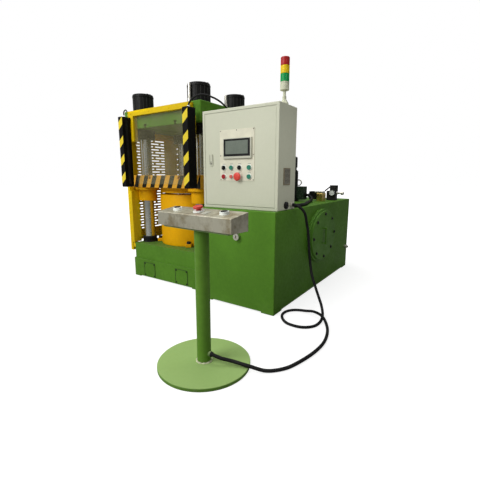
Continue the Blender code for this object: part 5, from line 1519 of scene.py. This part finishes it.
@dataclass
class HandStand:
    """The two-hand stand with its console and buttons."""

    turn: float = math.radians(-5)
    slope: float = math.atan2(0.023, 0.135)
    console_top: float = 0.82 + 0.0885
    bead_count: int = 40

    def build(self) -> None:
        """Dresses and builds every piece of the stand."""
        self.build_post()
        self.build_weld()
        dress({"console": ("steel", 0.0015)})
        self.build_buttons()

    def build_post(self) -> None:
        """Turns the disc and the tube and adds the mounting plate."""
        x, y, _ = STAND_AT
        tube = [(0, 0.8195), (TUBE_RADIUS, 0.8195), (TUBE_RADIUS, 0.02), (0.2736, 0.02), (0.2756, 0.018),
                (0.2756, 0.0015), (0.2745, 0.0), (0, 0)]
        post = Former("stand_post").lathe(tube, STAND_AT, Axis.Z, 128)
        post.block((x - 0.25, y - 0.06, 0.812), (x + 0.25, y + 0.06, 0.8197), Matrix.Rotation(self.turn, 3, "Z"),
                   (x, y, 0))
        post.rod((x + TUBE_RADIUS - 0.004, y, CABLE_HEIGHT), (x + TUBE_RADIUS + 0.012, y, CABLE_HEIGHT), 0.016)
        post.done("stand_green", node="stand")

    def build_weld(self) -> None:
        """Lays the uneven weld bead around the tube's foot."""
        x, y, _ = STAND_AT
        bead = Former("weld_bead")
        for i in range(self.bead_count):
            angle = FULL_TURN * i / self.bead_count
            lean = Matrix.Rotation(angle + 0.35 * math.sin(i * 2.4), 3, "Z")
            size = 0.0062 + 0.0012 * math.sin(i * 1.7)
            drop = [(0, size), (size * 0.55, size * 0.84), (size, 0), (size * 0.55, -size * 0.84), (0, -size)]
            bead.lathe(drop, around(0.044, angle, (x, y, 0.0215)), lean, 10)
        bead.done("putty")

    def on_console(self, along: float, depth: float = 0.0) -> Vector:
        """Gives a point on the console's sloping top.

        Args:
            along: The distance to the right of its middle.
            depth: The distance towards its back.

        Returns:
            The point.
        """
        spot = Matrix.Rotation(self.turn, 3, "Z") @ Vector((along, depth, 0))
        return Vector(STAND_AT) + spot + Vector((0, 0, self.console_top + depth * math.tan(self.slope)))

    def build_buttons(self) -> None:
        """Builds the palm buttons, their pale collars, the stop button and the blank plate."""
        tilt = Matrix.Rotation(self.turn, 3, "Z") @ Matrix.Rotation(self.slope, 3, "X")
        collars = Former("palm_collars")
        ring = [(0.0203, 0.0144), (0.0225, 0.0148), (0.0246, 0.0135), (0.0252, 0.005), (0.0275, SKIN),
                (0.0203, SKIN)]
        cap = [(0, 0.0195), (0.011, 0.019), (0.0165, 0.0175), (0.0193, 0.0145), (0.0193, 0.0055), (0, 0.0055)]
        for side, along in (("left", -0.193), ("right", 0.173)):
            at = self.on_console(along)
            collars.lathe(ring, at, tilt, 48, closed=True)
            node = "palm_" + side
            Former(node + "_cap").lathe(cap, at, tilt, 48).done("gloss_black", side + "_palm", node)
        at = self.on_console(-0.018)
        ring = [(0.0136, 0.0082), (0.029, 0.0082), (0.0305, 0.006), (0.032, SKIN), (0.0136, SKIN)]
        collars.lathe(ring, at, tilt, 48, closed=True).done("pale")
        head = [(0, 0.034), (0.019, 0.0335), (0.026, 0.0315), (0.028, 0.0285), (0.028, 0.021), (0.0255, 0.018),
                (0.013, 0.0175), (0.013, 0.0056), (0, 0.0056)]
        Former("console_stop_head").lathe(head, at, tilt, 56).done("red", "stand_stop", "console_stop")
        spot = self.on_console(0.045, -0.01)
        Former("blank_plate").block(spot + Vector((-0.02, -0.028, SKIN)), spot + Vector((0.02, 0.028, 0.0012)), tilt,
                                    spot).done("bezel", slot=Slot.GREY_PLASTIC)


@dataclass
class Studio:
    """Camera, floor, soft lamps and the white surroundings."""

    camera_at: Point = (1.99283, -2.56733, 1.10044)
    yaw: float = math.radians(34.465)
    pitch: float = math.radians(-11.001)
    lens: float = 24.69
    sensor: float = 36.0
    lamps: tuple[tuple[str, Point, Point, str, float, dict[str, object]], ...] = (
        ("key_lamp", (-1.2, -4.2, 3.9), (-0.1, 0.0, 0.8), "AREA", 200.0, {"shape": "DISK", "size": 3.2}),
        ("fill_lamp", (4.4, -2.0, 2.6), (0.3, 0.2, 0.8), "AREA", 5.0, {"shape": "DISK", "size": 3.0}),
        ("top_lamp", (0.2, 0.4, 4.6), (0.0, 0.2, 0.8), "AREA", 95.0, {"shape": "DISK", "size": 4.0}),
        ("side_lamp", (3.3, -1.7, 2.5), (0.8, -0.2, 1.3), "SPOT", 130.0,
         {"spot_size": math.radians(24), "spot_blend": 1.0, "shadow_soft_size": 0.4}))

    def build(self) -> None:
        """Makes the camera, the world, the floor and the lamps."""
        self.build_camera()
        self.build_world()
        self.build_floor()
        self.build_lamps()
        bpy.context.scene.view_settings.view_transform = "Standard"

    def build_camera(self) -> None:
        """Places the camera at the photograph's viewpoint."""
        data = bpy.data.cameras.new("camera")
        data.lens = self.lens
        data.sensor_width = self.sensor
        camera = bpy.data.objects.new("camera", data)
        camera.location = self.camera_at
        camera.rotation_euler = (math.pi / 2 + self.pitch, 0, self.yaw)
        bpy.context.scene.collection.objects.link(camera)
        bpy.context.scene.camera = camera

    def build_world(self) -> None:
        """Makes surroundings that are white to the eye and soft as light."""
        world = bpy.data.worlds.new("surroundings")
        bpy.context.scene.world = world
        world.use_nodes = True
        wires = Wiring(world.node_tree)
        rays = wires.add("ShaderNodeLightPath").outputs
        seen = wires.maths("MAXIMUM", rays["Is Camera Ray"], rays["Is Transmission Ray"])
        way = wires.add("ShaderNodeTexCoord").outputs["Generated"]
        facing = wires.add("ShaderNodeVectorMath", {0: way, 1: (-0.62, -0.62, 0.48)},
                           operation="DOT_PRODUCT").outputs["Value"]
        soft = wires.line(wires.ramp(facing, -0.5, 0.9), 0.38, 0.14)
        lit = wires.line(rays["Is Glossy Ray"], 0.1, soft)
        strength = wires.maths("MAXIMUM", seen, lit)
        wires.fill(world.node_tree.nodes["Background"], {"Color": WHITE, "Strength": strength})

    def build_floor(self) -> None:
        """Makes a pale floor that keeps the machine's shadow."""
        material, wires, shader = blank("pale_floor")
        glow = wires.add("ShaderNodeEmission", {"Color": WHITE, "Strength": 1.3})
        rays = wires.add("ShaderNodeLightPath").outputs
        seen = wires.maths("MAXIMUM", rays["Is Camera Ray"], rays["Is Transmission Ray"])
        spot = wires.add("ShaderNodeTexCoord").outputs["Object"]
        away = wires.add("ShaderNodeVectorMath", {0: spot}, operation="LENGTH").outputs["Value"]
        share = wires.maths("MULTIPLY", seen, wires.line(wires.ramp(away, 1.5, 3.2), 0.4, 0.6))
        wires.fill(shader, {"Base Color": wires.mix(seen, (0.42, 0.42, 0.41), (0.86, 0.86, 0.85)), "Roughness": 0.9})
        both = wires.add("ShaderNodeMixShader", {0: share, 1: shader.outputs[0], 2: glow.outputs[0]})
        wires.fill(wires.tree.nodes["Material Output"], {"Surface": both.outputs[0]})
        former = bmesh.new()
        bmesh.ops.create_grid(former, x_segments=1, y_segments=1, size=40.0)
        data = bpy.data.meshes.new("floor")
        former.to_mesh(data)
        former.free()
        data.materials.append(material)
        floor = bpy.data.objects.new("floor", data)
        floor.location.z = -0.0005
        bpy.context.scene.collection.objects.link(floor)

    def build_lamps(self) -> None:
        """Hangs the soft key, fill and top lamps and the spot on the cabinet's side."""
        for name, at, aim, kind, power, settings in self.lamps:
            data = bpy.data.lights.new(name, kind)
            data.energy = power
            for key, value in settings.items():
                setattr(data, key, value)
            lamp = bpy.data.objects.new(name, data)
            lamp.location = at
            lamp.rotation_euler = (Vector(aim) - Vector(at)).to_track_quat("-Z", "Y").to_euler()
            bpy.context.scene.collection.objects.link(lamp)


def main() -> None:
    """Builds the studio, the cables and then each sub-assembly."""
    logging.basicConfig(level=logging.INFO, format="%(message)s")
    for group in (Studio(), Cables(), Press(), Guards(), PowerUnit(), Cabinet(), SignalLamp(), HandStand()):
        group.build()
        log.info("%s is built", type(group).__name__)
    bpy.context.view_layer.update()


if __name__ == "__main__":
    main()
